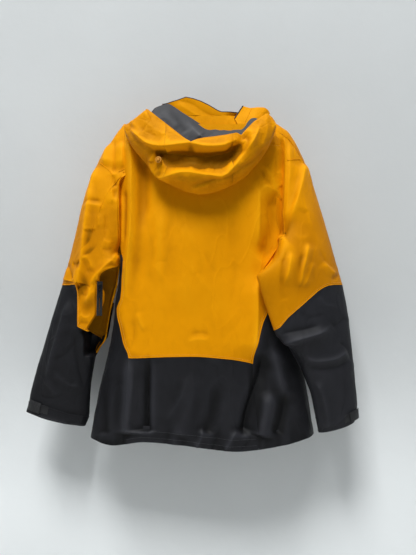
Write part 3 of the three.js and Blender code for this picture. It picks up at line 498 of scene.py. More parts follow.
# folds seen on the back, drawn in picture coordinates
BODY_FOLDS = [
    # the ridge that hangs from the left shoulder, with the shadowed drop on its right
    ("fold", 13, 7.0, 2.6, [(124.5, 127), (130, 139), (133, 152), (134, 175), (134, 205), (132.5, 245), (130, 272), (127, 290), (125, 306)], 0.05, 0.25),
    ("soft", -7, 7.0, 7.0, [(142, 150), (144, 190), (142, 235)], 0.2, 0.4),
    ("fold", -9, 1.6, 2.4, [(126, 190), (126.3, 215), (126, 246)], 0.15, 0.2),
    ("fold", 4, 2.0, 2.5, [(123.5, 190), (123.6, 215), (123.4, 246)], 0.2, 0.2),
    # black part: ridge and the deep shadow right of it
    ("fold", 9, 7.0, 14.0, [(128, 352), (128, 375), (127, 405), (126, 436)], 0.3, 0.05),
    ("fold", -13, 13.0, 3.0, [(148.5, 352), (147.5, 375), (147, 400), (147.5, 434)], 0.35, 0.05),
    ("soft", -4, 6.0, 6.0, [(104, 360), (102, 395), (104, 436)], 0.3, 0.05),
    # right: crest along the yellow edge, then the valley under the elbow
    ("fold", 9, 16.0, 5.0, [(258, 268), (257, 300), (256.5, 330), (255.5, 362)], 0.3, 0.2),
    ("fold", -13, 5.0, 9.0, [(264, 352), (261, 372), (254, 392), (246, 418), (243, 438)], 0.2, 0.1),
    ("fold", 7, 5.0, 9.0, [(270, 345), (275, 360), (281, 385), (292, 405)], 0.3, 0.4),
    ("soft", 8, 8.0, 8.0, [(272, 390), (268, 412), (262, 438)], 0.3, 0.05),
    ("fold", -6, 4.0, 5.0, [(286, 392), (284, 412), (276, 436)], 0.3, 0.1),
    ("soft", -5, 7.0, 7.0, [(218, 380), (214, 410), (205, 436)], 0.4, 0.1),
    ("soft", 4, 8.0, 8.0, [(196, 372), (188, 405), (180, 440)], 0.5, 0.1),
    ("fold", 2.5, 3.0, 6.0, [(190, 372), (180, 400), (164, 425)], 0.4, 0.3),
    # small bruise above the seam
    ("fold", 3.4, 2.0, 4.0, [(186, 344), (197, 340), (210, 341)], 0.3, 0.3),
    ("fold", -3.2, 2.0, 3.0, [(190, 335), (201, 333.5), (211, 337)], 0.3, 0.3),
    ("fold", 3.0, 2.0, 4.5, [(137, 312), (141, 325), (146, 333)], 0.3, 0.3),
    ("fold", -3.0, 2.0, 2.5, [(131, 318), (134, 335), (132, 350)], 0.3, 0.3),
    # creases at the right shoulder
    ("fold", 3.5, 1.8, 3.2, [(263.5, 163), (270, 174), (276.5, 188), (283, 204)], 0.15, 0.1),
    ("fold", -4.0, 1.5, 2.6, [(259, 166), (268, 180), (276, 193), (283.5, 208)], 0.2, 0.1),
    ("fold", 3.2, 1.5, 2.8, [(261, 192), (267.5, 187), (275, 190.5), (284, 200)], 0.2, 0.1),
    ("fold", -3.4, 1.4, 2.4, [(281, 186), (283.5, 190), (287, 191)], 0.2, 0.2),
    ("fold", 3.0, 1.6, 2.6, [(277, 172), (282, 176), (286, 184)], 0.2, 0.2),
    ("fold", 2.2, 1.8, 4.0, [(250, 178), (262, 196), (272, 212)], 0.3, 0.3),
    ("soft", -9, 10.0, 10.0, [(275, 186), (275, 220), (270, 246), (258, 262)], 0.25, 0.2),
    ("fold", 3, 10.0, 2.0, [(259.5, 186), (259.5, 215), (259, 248)], 0.2, 0.3),
    # long soft tension lines over the back
    ("soft", 4, 18.0, 18.0, [(196, 205), (192, 260), (190, 320)], 0.3, 0.3),
    ("soft", -3, 12.0, 12.0, [(232, 200), (236, 260), (238, 330)], 0.3, 0.3),
    ("soft", 3, 6.0, 6.0, [(165, 200), (160, 240), (158, 290)], 0.3, 0.3),
    ("fold", 1.8, 1.6, 4.0, [(186, 262), (200, 280), (216, 300)], 0.3, 0.3),
    ("fold", -1.5, 1.6, 4.0, [(202, 250), (214, 270), (228, 284)], 0.3, 0.3),
    ("fold", 1.5, 1.6, 4.0, [(150, 262), (164, 280), (170, 300)], 0.3, 0.3),
    ("fold", 1.6, 1.6, 4.0, [(150, 206), (156, 222), (156, 240)], 0.3, 0.3),
    ("fold", -1.4, 1.5, 3.0, [(152, 268), (160, 262), (170, 262)], 0.3, 0.3),
    # hem
    ("fold", 4.2, 2.5, 5.0, [(197, 447), (202, 436), (203, 424)], 0.0, 0.5),
    ("fold", 4.2, 2.5, 5.0, [(226, 449), (233, 438), (240, 429)], 0.0, 0.5),
    ("fold", -4.0, 2.5, 4.0, [(213, 449), (217, 438), (219, 428)], 0.0, 0.5),
    ("fold", -3.5, 2.0, 3.0, [(243, 449), (250, 440), (254, 432)], 0.0, 0.5),
    ("fold", 3.6, 2.5, 4.0, [(262, 446), (268, 434), (276, 424)], 0.0, 0.5),
    ("fold", 3.0, 2.5, 4.0, [(150, 448), (149, 432), (150, 418)], 0.0, 0.5),
    ("fold", -2.6, 2.0, 3.0, [(166, 444), (168, 434), (172, 426)], 0.0, 0.5),
]
# folds on the front, which hangs nearest the wall: drawn as the back's, seen through it
FRONT_FOLDS = [
    ("fold", 9, 6.0, 12.0, [(165, 150), (160, 220), (166, 300), (160, 380), (150, 440)], 0.2, 0.05),
    ("fold", -8, 6.0, 9.0, [(182, 330), (180, 390), (176, 446)], 0.4, 0.05),
    ("fold", 8, 8.0, 12.0, [(252, 150), (247, 230), (252, 320), (262, 440)], 0.2, 0.05),
    ("fold", -7, 7.0, 8.0, [(232, 300), (228, 370), (226, 446)], 0.4, 0.05),
    ("fold", 4, 3.0, 6.0, [(140, 150), (152, 175), (170, 205)], 0.2, 0.4),
    ("fold", 4, 3.0, 6.0, [(276, 150), (262, 178), (244, 206)], 0.2, 0.4),
    ("fold", -4, 3.0, 5.0, [(138, 240), (158, 262), (176, 270)], 0.2, 0.4),
    ("fold", -4, 3.0, 5.0, [(280, 240), (260, 266), (240, 276)], 0.2, 0.4),
]


def body_relief(P, back):
    """how far the cloth stands off the plain body surface, mm"""
    u, v = project(P)
    edge = smooth(0, 14, ridge(P[..., 0]) - P[..., 2])  # nothing at the shoulder line
    if back:
        w = smooth(-8, 26, P[..., 1])
        h = strokes(u, v, BODY_FOLDS, 1.45) * w
    else:
        w = smooth(8, -30, P[..., 1])
        h = strokes(u, v, FRONT_FOLDS) * w * 0.8
    low = smooth(-560, -760, P[..., 2])
    h = h + 3.2 * noise(P, (60, 60, 190), 3) * (0.5 + 0.8 * low)
    h = h + 0.8 * creases(P, (52, 52, 120), 11, 7) - 0.8 * creases(P, (44, 44, 110), 23, 7)
    h = h + 0.35 * noise(P, (15, 15, 26), 5)
    hem = smooth(-740, -820, P[..., 2])
    h = h + hem * 3.0 * noise(P, (30, 30, 90), 9)
    return h * edge


def relief_shade(h, P):
    """painted shade for valleys and painted highlight for crests: the relief against its own blurred self"""
    from_blur = h.copy()
    k = 9
    for ax in (0, 1):
        acc = np.zeros_like(from_blur)
        for s in range(-k, k + 1):
            acc += np.roll(from_blur, s, ax)
        from_blur = acc / (2 * k + 1)
    return 0.55 * np.clip((h - from_blur) / 4.0, -1, 1)


def offset_grid(P, h, toward, wrap=False):
    n = grid_normals(P, wrap)
    t = toward(P) if callable(toward) else np.broadcast_to(np.asarray(toward, float), P.shape)
    s = np.sign((n * t).sum(-1, keepdims=True))
    s[s == 0] = 1
    return P + n * s * h[..., None]


SEAMG = 0.25


def press_under(Q, node, edge=8.0, ease=9.0, drop=0.5):
    """keep a cloth grid below a zip's tape"""
    V = np.array([v_.co for v_ in frame["nodes"][node].data.vertices]) * 1000
    c_ = V.mean(0)
    w_, E = np.linalg.eigh(np.cov((V - c_).T))
    n_, b_, a_ = E[:, 0], E[:, 1], E[:, 2]
    n_ = n_ * (np.sign(n_[1]) if abs(n_[1]) > 0.2 else 1)
    D = Q - c_
    al, ac, hh = D @ a_, D @ b_, D @ n_
    if c_[1] < 0:
        hh, n_ = -hh, -n_
    L2 = np.abs((V - c_) @ a_).max()
    low = ((V - c_) @ n_).min()
    k = smooth(edge + ease, edge, np.abs(ac)) * smooth(L2 + ease, L2, np.abs(al)) * (np.abs(hh) < 30)
    target = np.minimum(hh, low - drop)
    return Q + (n_ * ((target - hh) * k)[..., None])


def body_grid(xl, xr, zt, zb, back, nu, nv, top_dense=1.0):
    """grid between side edges xl(z) < xr(z) and between zt(x) and zb(x)"""
    U = np.linspace(0, 1, nu)[:, None]
    W = np.linspace(0, 1, nv)[None, :] ** top_dense
    x = xl(-400.0) + (xr(-400.0) - xl(-400.0)) * U + 0 * W
    for _ in range(12):
        z = zt(x) + (zb(x) - zt(x)) * W
        x = xl(z) + (xr(z) - xl(z)) * U
    y = depth(x, z, back) * (1 if back else -1)
    return np.stack([x, y, z], -1)


def back_out(P):
    o = np.zeros(P.shape)
    o[..., 1] = 1
    o[..., 2] = 0.6 * smooth(-50, -10, P[..., 2])
    return o


def front_out(P):
    o = back_out(P)
    o[..., 1] *= -1
    return o


# seams of the back, from its edges as they hang
def edge_rows(pts, y):
    return [tuple(float(a) for a in (unproject(px, py, yy)[1], unproject(px, py, yy)[0])) for (px, py), yy in zip(pts, y)]


seam_l = curve([(-20, 183), (-70, 188), (-125, 200), (-170, 206), (-320, 206), (-345, 201)] + edge_rows([(126, 263), (124, 278), (121, 299), (117, 310), (117.3, 316), (120, 327), (124, 345), (128.7, 358.5)], [44, 42, 38, 34, 36, 42, 52, 60]) + [(-700, 187), (-840, 196)])
seam_r = curve([(-20, 183), (-60, 190), (-110, 203), (-200, 206), (-300, 206), (-345, 196), (-400, 186), (-430, 180)] + [(z, -x) for z, x in edge_rows([(271, 305), (268, 312), (262, 325), (258, 340), (253, 364)], [60, 62, 66, 70, 72])] + [(-700, 128), (-840, 136)])
seam_bottom = curve([(-140, -631), (-112, -621), (-58, -612), (28, -606), (80, -607), (175, -611.5), (200, -612)])
YOKE = -80.0
fseam = curve([(-340, ARMX), (-355, ARMX), (-430, 190), (-560, 178), (-840, 192)])
FSEAM_Z = -560.0
t_cloth = 1.1

pieces_shell = []


def body_piece(name, xl, xr, zt, zb, back, nu, nv, material, replaced, dense=1.0):
    P = body_grid(xl, xr, zt, zb, back, nu, nv, dense)
    out = back_out if back else front_out
    h = body_relief(P, back)
    Q = offset_grid(P, h, out)
    if not back and "hem" not in name:
        for zip_ in ("left_pocket_zip", "right_pocket_zip", "chest_pocket_zip"):
            Q = press_under(Q, zip_, 10.0)
    if not back and "hem" in name:
        for zip_ in ("left_pocket_zip", "right_pocket_zip"):
            Q = press_under(Q, zip_, 10.0)
    # painted shade and highlight from the relief; on black pieces it is 1.7 times stronger and painted 0.2 darker
    # overall
    ob = cloth(name, Q, out, t_cloth, material, fold=np.clip(1.7 * relief_shade(h, P) - 0.2, -1, 1) if material is BLACK else relief_shade(h, P))
    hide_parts(*replaced)
    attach(ob, "shell")
    pieces_shell.append(ob)
    return ob, Q


g = SEAMG
yoke, yoke_grid = body_piece("back_yoke_cloth", lambda z: -seam_r(z) + g, lambda z: seam_l(z) - g, lambda x: np.where(np.abs(x) < NECK, -12.0, ridge(x) - 0.05), lambda x: YOKE + g + 0 * x, True, 190, 46, AMBER, ["back_yoke"], 1.35)
backp, back_grid = body_piece("back_panel_cloth", lambda z: -seam_r(z) + g, lambda z: seam_l(z) - g, lambda x: YOKE - g + 0 * x, lambda x: seam_bottom(x) + g, True, 190, 250, AMBER, ["back_panel"])
backh, backh_grid = body_piece("back_hem_cloth", lambda z: -seam_r(z) + g, lambda z: seam_l(z) - g, lambda x: seam_bottom(x) - g, lambda x: hemz(x), True, 170, 110, BLACK, ["back_hem_panel"])
front_pieces = {}
for side, s in (("left", 1), ("right", -1)):
    xi = lambda z, s=s: (9.0 + 0 * z) if s > 0 else (-fseam(z) + g)
    xo = lambda z, s=s: (fseam(z) - g) if s > 0 else (-9.0 + 0 * z)
    neck_z = lambda x: np.where(np.abs(x) < NECK, -12 - 40 * (1 - np.minimum(1, np.abs(x) / NECK) ** 2), ridge(x) - 0.05)
    front_pieces[side], _ = body_piece(side + "_front_cloth", xi, xo, neck_z, lambda x: FSEAM_Z + g + 0 * x, False, 90, 230, AMBER, [side + "_front_panel"], 1.15)
    front_pieces[side + "_hem"], _ = body_piece(side + "_front_hem_cloth", xi, xo, lambda x: FSEAM_Z - g + 0 * x, lambda x: hemz(x), False, 90, 110, BLACK, [side + "_front_hem_panel"])
    # side panel
    nu, nv = 110, 200
    seam = seam_l if s > 0 else seam_r
    U = np.linspace(0, 1, nu)[:, None]
    W = np.linspace(0, 1, nv)[None, :]
    z = -356.5 + (-826 + 356.5) * W + 0 * U
    for _ in range(6):
        a0 = angle_of(seam(z) + g, z)
        a1 = 180 - angle_of(fseam(z) + g, z)
        deg = s * (a0 + (a1 - a0) * U)
        q = around(deg, z)
        zb = hemz(q[..., 0])
        z = -356.5 + (zb + 356.5) * W
    q = around(deg, z)
    out = lambda P, s=s: np.stack([P[..., 0] - s * 150, P[..., 1], 0 * P[..., 0]], -1)
    hb, hf = body_relief(q, True), body_relief(q, False)
    wb = smooth(-16, 16, q[..., 1])
    h = hb * wb + hf * (1 - wb)
    Q = offset_grid(q, h, out)
    # painted shade: the side panels' fold tone is 1.7 times stronger and painted 0.3 darker, as they turn away from the
    # light
    ob = cloth(side + "_side_cloth", Q, out, t_cloth, BLACK, fold=np.clip(1.7 * relief_shade(h, q) - 0.3, -1, 1))
    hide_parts(side + "_side_panel")
    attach(ob, "shell")

# ------------------------------------------------------------------ sleeves
SLEEVE = {
    "left": [[183.2, 0, -203, 148, 40, 90, 0], [214, 3, -226, 126, 46, 78, 0.02], [248, 10, -286, 86, 48, 57, 0.12], [269, 18, -374, 65, 42, 26, 0.2], [293, 12, -470, 69, 44, 16, 0.1], [325, 8, -570, 68, 42, 15, 0], [351, 4, -670, 71, 38, 15, 0], [370, 2, -772, 75, 33, 14, 0]],
    "right": [[183.2, 0, -203, 148, 40, 90, 0], [209, 4, -226, 127, 46, 78, 0.06], [232, 28, -284, 91, 44, 54, 0.32], [243, 53, -370, 84, 40, 22, 0.42], [252, 54, -462, 92, 38, 14, 0.38], [272, 52, -540, 88, 38, 12, 0.32], [300, 44, -618, 72, 36, 12, 0.26], [323, 38, -700, 60, 34, 12, 0.2], [337, 30, -785, 53, 32, 15, 0.15]],
}


def catmull(points):
    p = np.array(points, float)
    n = len(p)

    def at(t):
        t = np.clip(np.asarray(t, float), 0, 1) * (n - 1)
        i = np.minimum(np.floor(t).astype(int), n - 2)
        w = (t - i)[..., None]
        P0 = np.where((i > 0)[..., None], p[np.maximum(i - 1, 0)], 2 * p[0] - p[1])
        P1, P2 = p[i], p[i + 1]
        P3 = np.where((i + 2 < n)[..., None], p[np.minimum(i + 2, n - 1)], 2 * p[-1] - p[-2])
        d0 = (((P0 - P1) ** 2).sum(-1) ** 0.25)[..., None]
        d1 = (((P1 - P2) ** 2).sum(-1) ** 0.25)[..., None]
        d2 = (((P2 - P3) ** 2).sum(-1) ** 0.25)[..., None]
        m1 = ((P1 - P0) / d0 - (P2 - P0) / (d0 + d1) + (P2 - P1) / d1) * d1
        m2 = ((P2 - P1) / d1 - (P3 - P1) / (d1 + d2) + (P3 - P2) / d2) * d1
        return P1 + m1 * w + (-3 * P1 + 3 * P2 - 2 * m1 - m2) * w**2 + (2 * P1 - 2 * P2 + m1 + m2) * w**3

    return at


OUTER_PX = {
    "left": [(127, 121), (123, 126.5), (115, 136), (110.5, 143), (105.6, 150), (99.6, 161), (96.7, 168), (93.7, 180), (85, 205), (78, 232), (70, 262), (62, 287), (50, 326), (37, 368), (31, 390), (27.7, 407), (25, 414), (23, 424), (22, 440)],
    "right": [(270, 121), (277, 125), (288, 132), (295, 143), (303, 160), (313, 190), (325, 225), (336, 262), (343, 285), (349, 320), (353, 360), (357, 405), (355, 418), (352, 432), (350, 446)],
}
INNER_PX = {
    "left": [(119.5, 181), (119, 215), (119.5, 240), (118.7, 250), (120, 262), (118.5, 272), (117, 288), (112, 300), (108, 325), (105, 340), (97, 350), (94, 365), (91, 385), (90, 400), (89.7, 415), (86, 425), (80, 440)],
    "right": [(284.5, 140), (284, 236), (270, 250), (252, 263), (262, 297), (272, 326), (276, 337), (297, 352), (304, 372), (311, 395), (314, 410), (319.5, 437), (322, 450)],
}
# where the sleeve's cloth folds under at the body, and how high up the fold starts
FOLD_PX = {
    "left": [(136, 172), (131.5, 174.3), (124, 176.8), (120.3, 180), (119, 186), (118.8, 200), (119, 220), (119.4, 240), (119, 250), (120, 262), (121, 270)],
    "right": [(284.5, 120), (284.6, 160), (284.2, 200), (284, 234), (279, 242), (270, 250), (262, 256)],
}
FOLD_TOP = {"left": (173.5, 180), "right": (137, 147)}


def ray_hit(c, d, pts):
    """distance from c along d to the first crossing with a drawn line"""
    best = None
    for (ax, ay), (bx, by) in zip(pts[:-1], pts[1:]):
        ex, ey = bx - ax, by - ay
        den = d[0] * ey - d[1] * ex
        if abs(den) < 1e-9:
            continue
        t = ((ax - c[0]) * ey - (ay - c[1]) * ex) / den
        q = ((ax - c[0]) * d[1] - (ay - c[1]) * d[0]) / den
        if t > 0 and -1e-6 <= q <= 1 + 1e-6 and (best is None or t < best):
            best = t
    return best


def sleeve_surface(side):
    rows = np.array(SLEEVE[side], float)
    s = 1 if side == "left" else -1
    c = catmull(rows[:, :3])
    n = len(rows) - 1

    def col(k, v):
        x = np.clip(v, 0, 1) * n
        i = np.minimum(n - 1, np.floor(x).astype(int))
        t = x - i
        p = lambda j: rows[np.clip(j, 0, n), k]
        m0, m1 = (p(i + 1) - p(i - 1)) / 2, (p(i + 2) - p(i)) / 2
        t2, t3 = t * t, t * t * t
        return (2 * t3 - 3 * t2 + 1) * p(i) + (t3 - 2 * t2 + t) * m0 + (-2 * t3 + 3 * t2) * p(i + 1) + (t3 - t2) * m1

    vs = np.linspace(0, 1, 161)
    reach = {"out": [], "in": []}
    for v in vs:
        v = np.array(v)
        C, A, a, lean = c(v), float(col(3, v)), math.radians(float(col(5, v))), float(col(6, v))
        for key, sg, pts in (("out", 1, OUTER_PX[side]), ("in", -1, INNER_PX[side])):
            y = C[1] - sg * lean * A
            k = DIST / (DIST + YREF - y)
            cx = 208 - (s * C[0] - XC) / MMPX * k
            cy = 277.5 - (C[2] - ZC) / MMPX * k
            d = (-s * sg * math.cos(a) / MMPX * k, -sg * math.sin(a) / MMPX * k)
            hit = ray_hit((cx, cy), d, pts)
            reach[key].append(A if hit is None else min(max(hit, 0.8 * A), 1.5 * A))
    for key in reach:
        r = np.array(reach[key])
        for _ in range(2):
            r[1:-1] = (r[:-2] + 2 * r[1:-1] + r[2:]) / 4
        reach[key] = r

    def F(v, theta, off=0.0):
        v, theta = np.broadcast_arrays(np.asarray(v, float), np.asarray(theta, float))
        ce = c(v)
        B, a, lean = col(4, v) + off, np.radians(col(5, v)), col(6, v)
        e = np.stack([np.cos(a), -lean, np.sin(a)], -1)
        t = np.radians(theta)
        ct, st = np.cos(t), np.sin(t)
        w = smooth(180, 214, theta % 360) * (theta % 360 > 180)
        A = np.where(ct > 0, np.interp(v, vs, reach["out"]), np.interp(v, vs, reach["in"]) * (1 - w) + col(3, v) * w) + off
        p = ce + e * (A * ct)[..., None]
        p[..., 1] += B * np.sign(st) * np.abs(st) ** 0.92
        p[..., 0] *= s
        return p

    return F


LEFT_ARM_FOLDS = [
    # shoulder: valley beside the ridge, cap seam bumps, the hooked fold
    ("fold", -8, 2.0, 3.0, [(113.4, 138), (114.4, 152), (114.6, 164), (114, 175)], 0.25, 0.15),
    ("fold", 5, 5.0, 5.0, [(121, 140), (122, 155), (121, 170)], 0.3, 0.3),
    ("fold", 5, 4.0, 6.0, [(107, 140), (105.5, 155), (104, 168)], 0.3, 0.3),
    ("fold", 5, 2.0, 4.0, [(130, 173), (124, 174.5), (119, 178), (116.5, 184)], 0.15, 0.3),
    ("fold", -5, 2.0, 2.0, [(113.5, 175), (114.5, 183), (117, 188)], 0.3, 0.2),
    ("fold", 4.5, 2.5, 3.0, [(110, 188), (112, 195), (111.5, 206)], 0.2, 0.3),
    ("fold", -4, 2.0, 2.5, [(113, 190), (115.5, 196), (113, 200)], 0.3, 0.3),
    ("fold", 7, 4.5, 3.0, [(116.5, 190), (116.3, 215), (116.5, 240), (115.5, 255)], 0.2, 0.3),
    ("fold", -3.5, 2.5, 3.0, [(107, 196), (106.5, 215), (105.5, 235), (107, 246)], 0.3, 0.3),
    # facet down the arm: outer side turned away
    ("fold", 10, 10.0, 3.0, [(98.5, 164), (95, 182), (90.5, 208), (87, 232), (84.5, 258), (79.5, 284)], 0.12, 0.0),
    ("fold", -3.5, 2.5, 2.0, [(97, 170), (96, 180), (93, 197)], 0.2, 0.3),
    # short crossing creases
    ("fold", -4.5, 1.3, 2.2, [(85, 208), (90, 203), (97, 201.5), (103, 202)], 0.15, 0.3),
    ("fold", 4.5, 1.6, 3.0, [(87, 210), (93, 206), (99, 206.5), (105, 209)], 0.2, 0.2),
    ("fold", 2.5, 1.5, 2.5, [(91, 213), (91, 222), (92, 230)], 0.3, 0.3),
    ("fold", -3.6, 1.2, 2.0, [(87, 234), (91, 232), (97, 231)], 0.2, 0.3),
    ("fold", 3.6, 1.4, 2.2, [(87, 231.5), (91, 229.5), (97, 229)], 0.2, 0.3),
    ("fold", 2.5, 1.6, 3.0, [(98, 214), (99, 222), (98, 230)], 0.3, 0.3),
    ("fold", -2.6, 1.6, 2.6, [(104, 214), (105.5, 222), (104, 232)], 0.3, 0.3),
    ("fold", 2.8, 1.5, 2.5, [(103, 240), (108, 243), (113, 243)], 0.2, 0.3),
    ("fold", -2.8, 1.5, 2.5, [(101, 249), (107, 250.5), (113, 248)], 0.3, 0.3),
    # elbow
    ("fold", 4.5, 1.8, 2.6, [(66, 284), (68, 276), (70, 266)], 0.1, 0.3),
    ("fold", -5.5, 1.5, 2.2, [(68, 264.5), (72, 272), (75, 281)], 0.2, 0.1),
    ("fold", 4.5, 1.6, 2.5, [(75.5, 282), (78, 275), (80, 267)], 0.1, 0.3),
    ("fold", -5, 1.5, 2.2, [(74, 265.5), (79, 265), (82.5, 262.5)], 0.2, 0.2),
    ("fold", 4, 1.6, 2.5, [(85, 256), (90, 262), (93, 272)], 0.2, 0.3),
    ("fold", -4, 1.6, 2.5, [(84, 259), (87, 267), (89, 276)], 0.2, 0.3),
    ("fold", 7, 4.0, 6.0, [(117, 250), (112, 259), (103, 268), (95, 278), (90, 292), (86, 310)], 0.15, 0.2),
    ("fold", -4.5, 1.6, 2.2, [(117.5, 251), (112, 256), (110.5, 262)], 0.2, 0.2),
    ("fold", 3.5, 1.5, 2.5, [(118, 256), (114.5, 261), (112.5, 266)], 0.2, 0.2),
    ("fold", -3.5, 2.0, 3.0, [(80, 292), (85, 296), (92, 295)], 0.3, 0.3),
    ("fold", 4, 2.0, 4.0, [(97, 290), (90, 296), (85, 305)], 0.2, 0.3),
    ("fold", -3.5, 2.0, 3.0, [(88, 288), (92, 285), (96, 286)], 0.2, 0.3),
    ("fold", 3.5, 2.0, 4.0, [(79, 314), (86, 318), (93, 315)], 0.2, 0.3),
    ("fold", -3.5, 2.0, 3.0, [(80, 322), (86, 324), (90, 322)], 0.2, 0.3),
    # lower, black part
    ("fold", 6, 3.0, 7.0, [(70, 296), (62, 325), (52, 358), (44, 392)], 0.2, 0.3),
    ("fold", -6, 3.0, 4.0, [(75, 332), (75.5, 350), (80, 372), (85, 392)], 0.15, 0.3),
    ("fold", 5.5, 2.5, 4.0, [(53, 372), (62, 381), (73, 387), (86, 388)], 0.2, 0.3),
    ("fold", -5, 2.5, 3.0, [(52, 361), (62, 357), (70, 350), (76, 342)], 0.2, 0.3),
    ("fold", 5, 2.5, 4.0, [(44, 378), (52, 390), (58, 404)], 0.3, 0.3),
    ("fold", -4, 2.5, 3.0, [(34, 392), (48, 399), (66, 396)], 0.3, 0.3),
    ("fold", 4.5, 2.0, 4.0, [(82, 340), (88, 352), (90, 370)], 0.2, 0.3),
    ("soft", 4, 5.0, 5.0, [(32, 420), (52, 424), (76, 428)], 0.2, 0.3),
]
# the arch: left and above it the upper cloth hangs free, right of it the underarm lies deeper
LEFT_ARCH = [(122, 260), (116.2, 267.3), (107.5, 270), (100.5, 275), (99.3, 280), (101.5, 287), (104.6, 294), (104.2, 303), (98, 314), (92, 323), (87.5, 331)]
RIGHT_ARM_FOLDS = [
    ("fold", 5, 5.0, 7.0, [(289, 136), (289.5, 165), (288, 200), (286.5, 232)], 0.2, 0.2),
    ("fold", 8, 3.0, 11.0, [(303, 162), (301, 178), (296, 205), (291, 225)], 0.15, 0.3),
    ("fold", -3.0, 3.0, 3.0, [(297, 172), (294, 195), (290, 215)], 0.2, 0.4),
    ("fold", 7, 4.0, 7.0, [(285, 236), (279, 242), (268, 252), (254, 262.5)], 0.1, 0.05),
    ("fold", -3.5, 1.6, 2.6, [(278.5, 240), (279.5, 246), (277, 252)], 0.2, 0.3),
    ("fold", -3.2, 1.6, 2.6, [(279, 258), (283, 262), (284.5, 258)], 0.3, 0.3),
    ("fold", -4.5, 2.5, 3.5, [(289, 247), (284, 262), (279, 282), (275, 300)], 0.2, 0.4),
    ("fold", 4.0, 2.0, 5.0, [(292, 250), (289, 268), (284, 288)], 0.3, 0.4),
    ("fold", 5.0, 2.2, 5.0, [(308.5, 242), (306, 256), (302, 272), (300, 288)], 0.2, 0.2),
    ("fold", -5.0, 2.2, 4.0, [(303.5, 252), (300.5, 268), (301, 286)], 0.2, 0.2),
    ("fold", 3.5, 2.0, 4.0, [(313, 262), (309, 276), (303, 290)], 0.2, 0.3),
    ("fold", 3.0, 2.0, 5.0, [(322, 262), (330, 270), (339, 277)], 0.3, 0.3),
    ("fold", -3.4, 1.8, 3.0, [(332, 282), (336, 276), (340, 279)], 0.3, 0.3),
    ("fold", -3.0, 2.0, 4.0, [(318, 248), (326, 262), (334, 274)], 0.3, 0.3),
    ("fold", 2.5, 1.6, 3.5, [(262, 270), (272, 272), (284, 268)], 0.2, 0.3),
    ("fold", -2.5, 1.6, 3.0, [(262, 281), (273, 283), (286, 278)], 0.3, 0.3),
    ("fold", 2.5, 1.6, 4.0, [(268, 296), (278, 303), (292, 299)], 0.3, 0.3),
    ("fold", 2.5, 1.8, 4.0, [(300, 190), (307, 215), (316, 234)], 0.3, 0.3),
    ("fold", -2.0, 1.6, 3.0, [(297, 210), (303, 214), (309, 212)], 0.3, 0.3),
    ("fold", 2.0, 1.6, 3.0, [(293, 232), (302, 238), (312, 236)], 0.3, 0.3),
    # lower, black part
    ("fold", 10, 4.0, 8.0, [(279, 343.5), (290, 341), (304, 338), (318, 334), (334, 326)], 0.05, 0.3),
    ("fold", -9, 4.0, 4.0, [(277, 336), (290, 333), (306, 330), (322, 325)], 0.1, 0.3),
    ("fold", -5.5, 3.0, 3.0, [(332, 329), (340, 323), (346, 317)], 0.2, 0.2),
    ("fold", 5, 3.0, 5.0, [(303, 358), (318, 362), (334, 360), (350, 350)], 0.2, 0.2),
    ("fold", -6.5, 3.0, 3.0, [(304, 366), (320, 370), (336, 368), (351, 360)], 0.2, 0.2),
    ("fold", 5, 3.5, 6.0, [(314, 380), (323, 396), (328, 420), (329, 434)], 0.2, 0.2),
    ("fold", -4.5, 3.0, 4.0, [(344, 376), (346, 396), (340, 420)], 0.3, 0.3),
    ("fold", -4.5, 2.5, 3.0, [(338, 342), (347, 349), (352, 364)], 0.2, 0.2),
    ("fold", 3.5, 2.5, 4.0, [(318, 296), (326, 306), (340, 308)], 0.2, 0.3),
    ("fold", -3.5, 2.5, 4.0, [(300, 312), (312, 318), (328, 314)], 0.2, 0.3),
]
STRIP_PX = lin([(40, 349), (86, 351.3), (95, 353.5), (130, 358)])
SEAM_PX = {
    "left": lin([(40, 286), (62, 285.8), (77.8, 285.3), (78.4, 327), (88, 331.5), (130, 334)]),
    "right": lin([(240, 332), (272, 331), (275.5, 330.4), (280, 328), (288, 318.3), (302, 306), (311, 298), (318, 291.7), (323, 288.4), (328.5, 286), (334, 285.2), (360, 285)]),
}
UNDER_PX = {"left": lin([(40, 285.8), (62, 285.6), (72, 285.4), (79, 286), (95, 300), (130, 310)]), "right": SEAM_PX["right"]}
CUFF_PX = {"left": lin([(20, 400), (41, 405.5), (68.6, 414.8), (88, 417.2), (100, 418)]), "right": lin([(300, 433), (320, 431), (337, 425), (357, 408)])}


def arm_relief(side, P, theta, upper):
    u, v = project(P)
    w = smooth(-6, 20, np.sin(np.radians(theta)) * 34)
    h = strokes(u, v, LEFT_ARM_FOLDS if side == "left" else RIGHT_ARM_FOLDS, 1.5) * w
    h = h + 2.2 * noise(P, (60, 60, 130), 41 if side == "left" else 57)
    k = 0.8 if upper else 1.0
    h = h + k * (0.9 * creases(P, (46, 46, 80), 61, 7) - 0.9 * creases(P, (38, 38, 90), 73, 7) + 0.35 * noise(P, (14, 14, 22), 77))
    e = 1 - np.exp(-(((P[..., 0] ** 2) ** 0.5 - 182) / 8.0).clip(0))
    return h * e


N1, N2, N3 = 120, 46, 96  # columns before the arch, after it on the back, and round the front
ARCH_V = np.linspace(0.0, 1.0, 401)


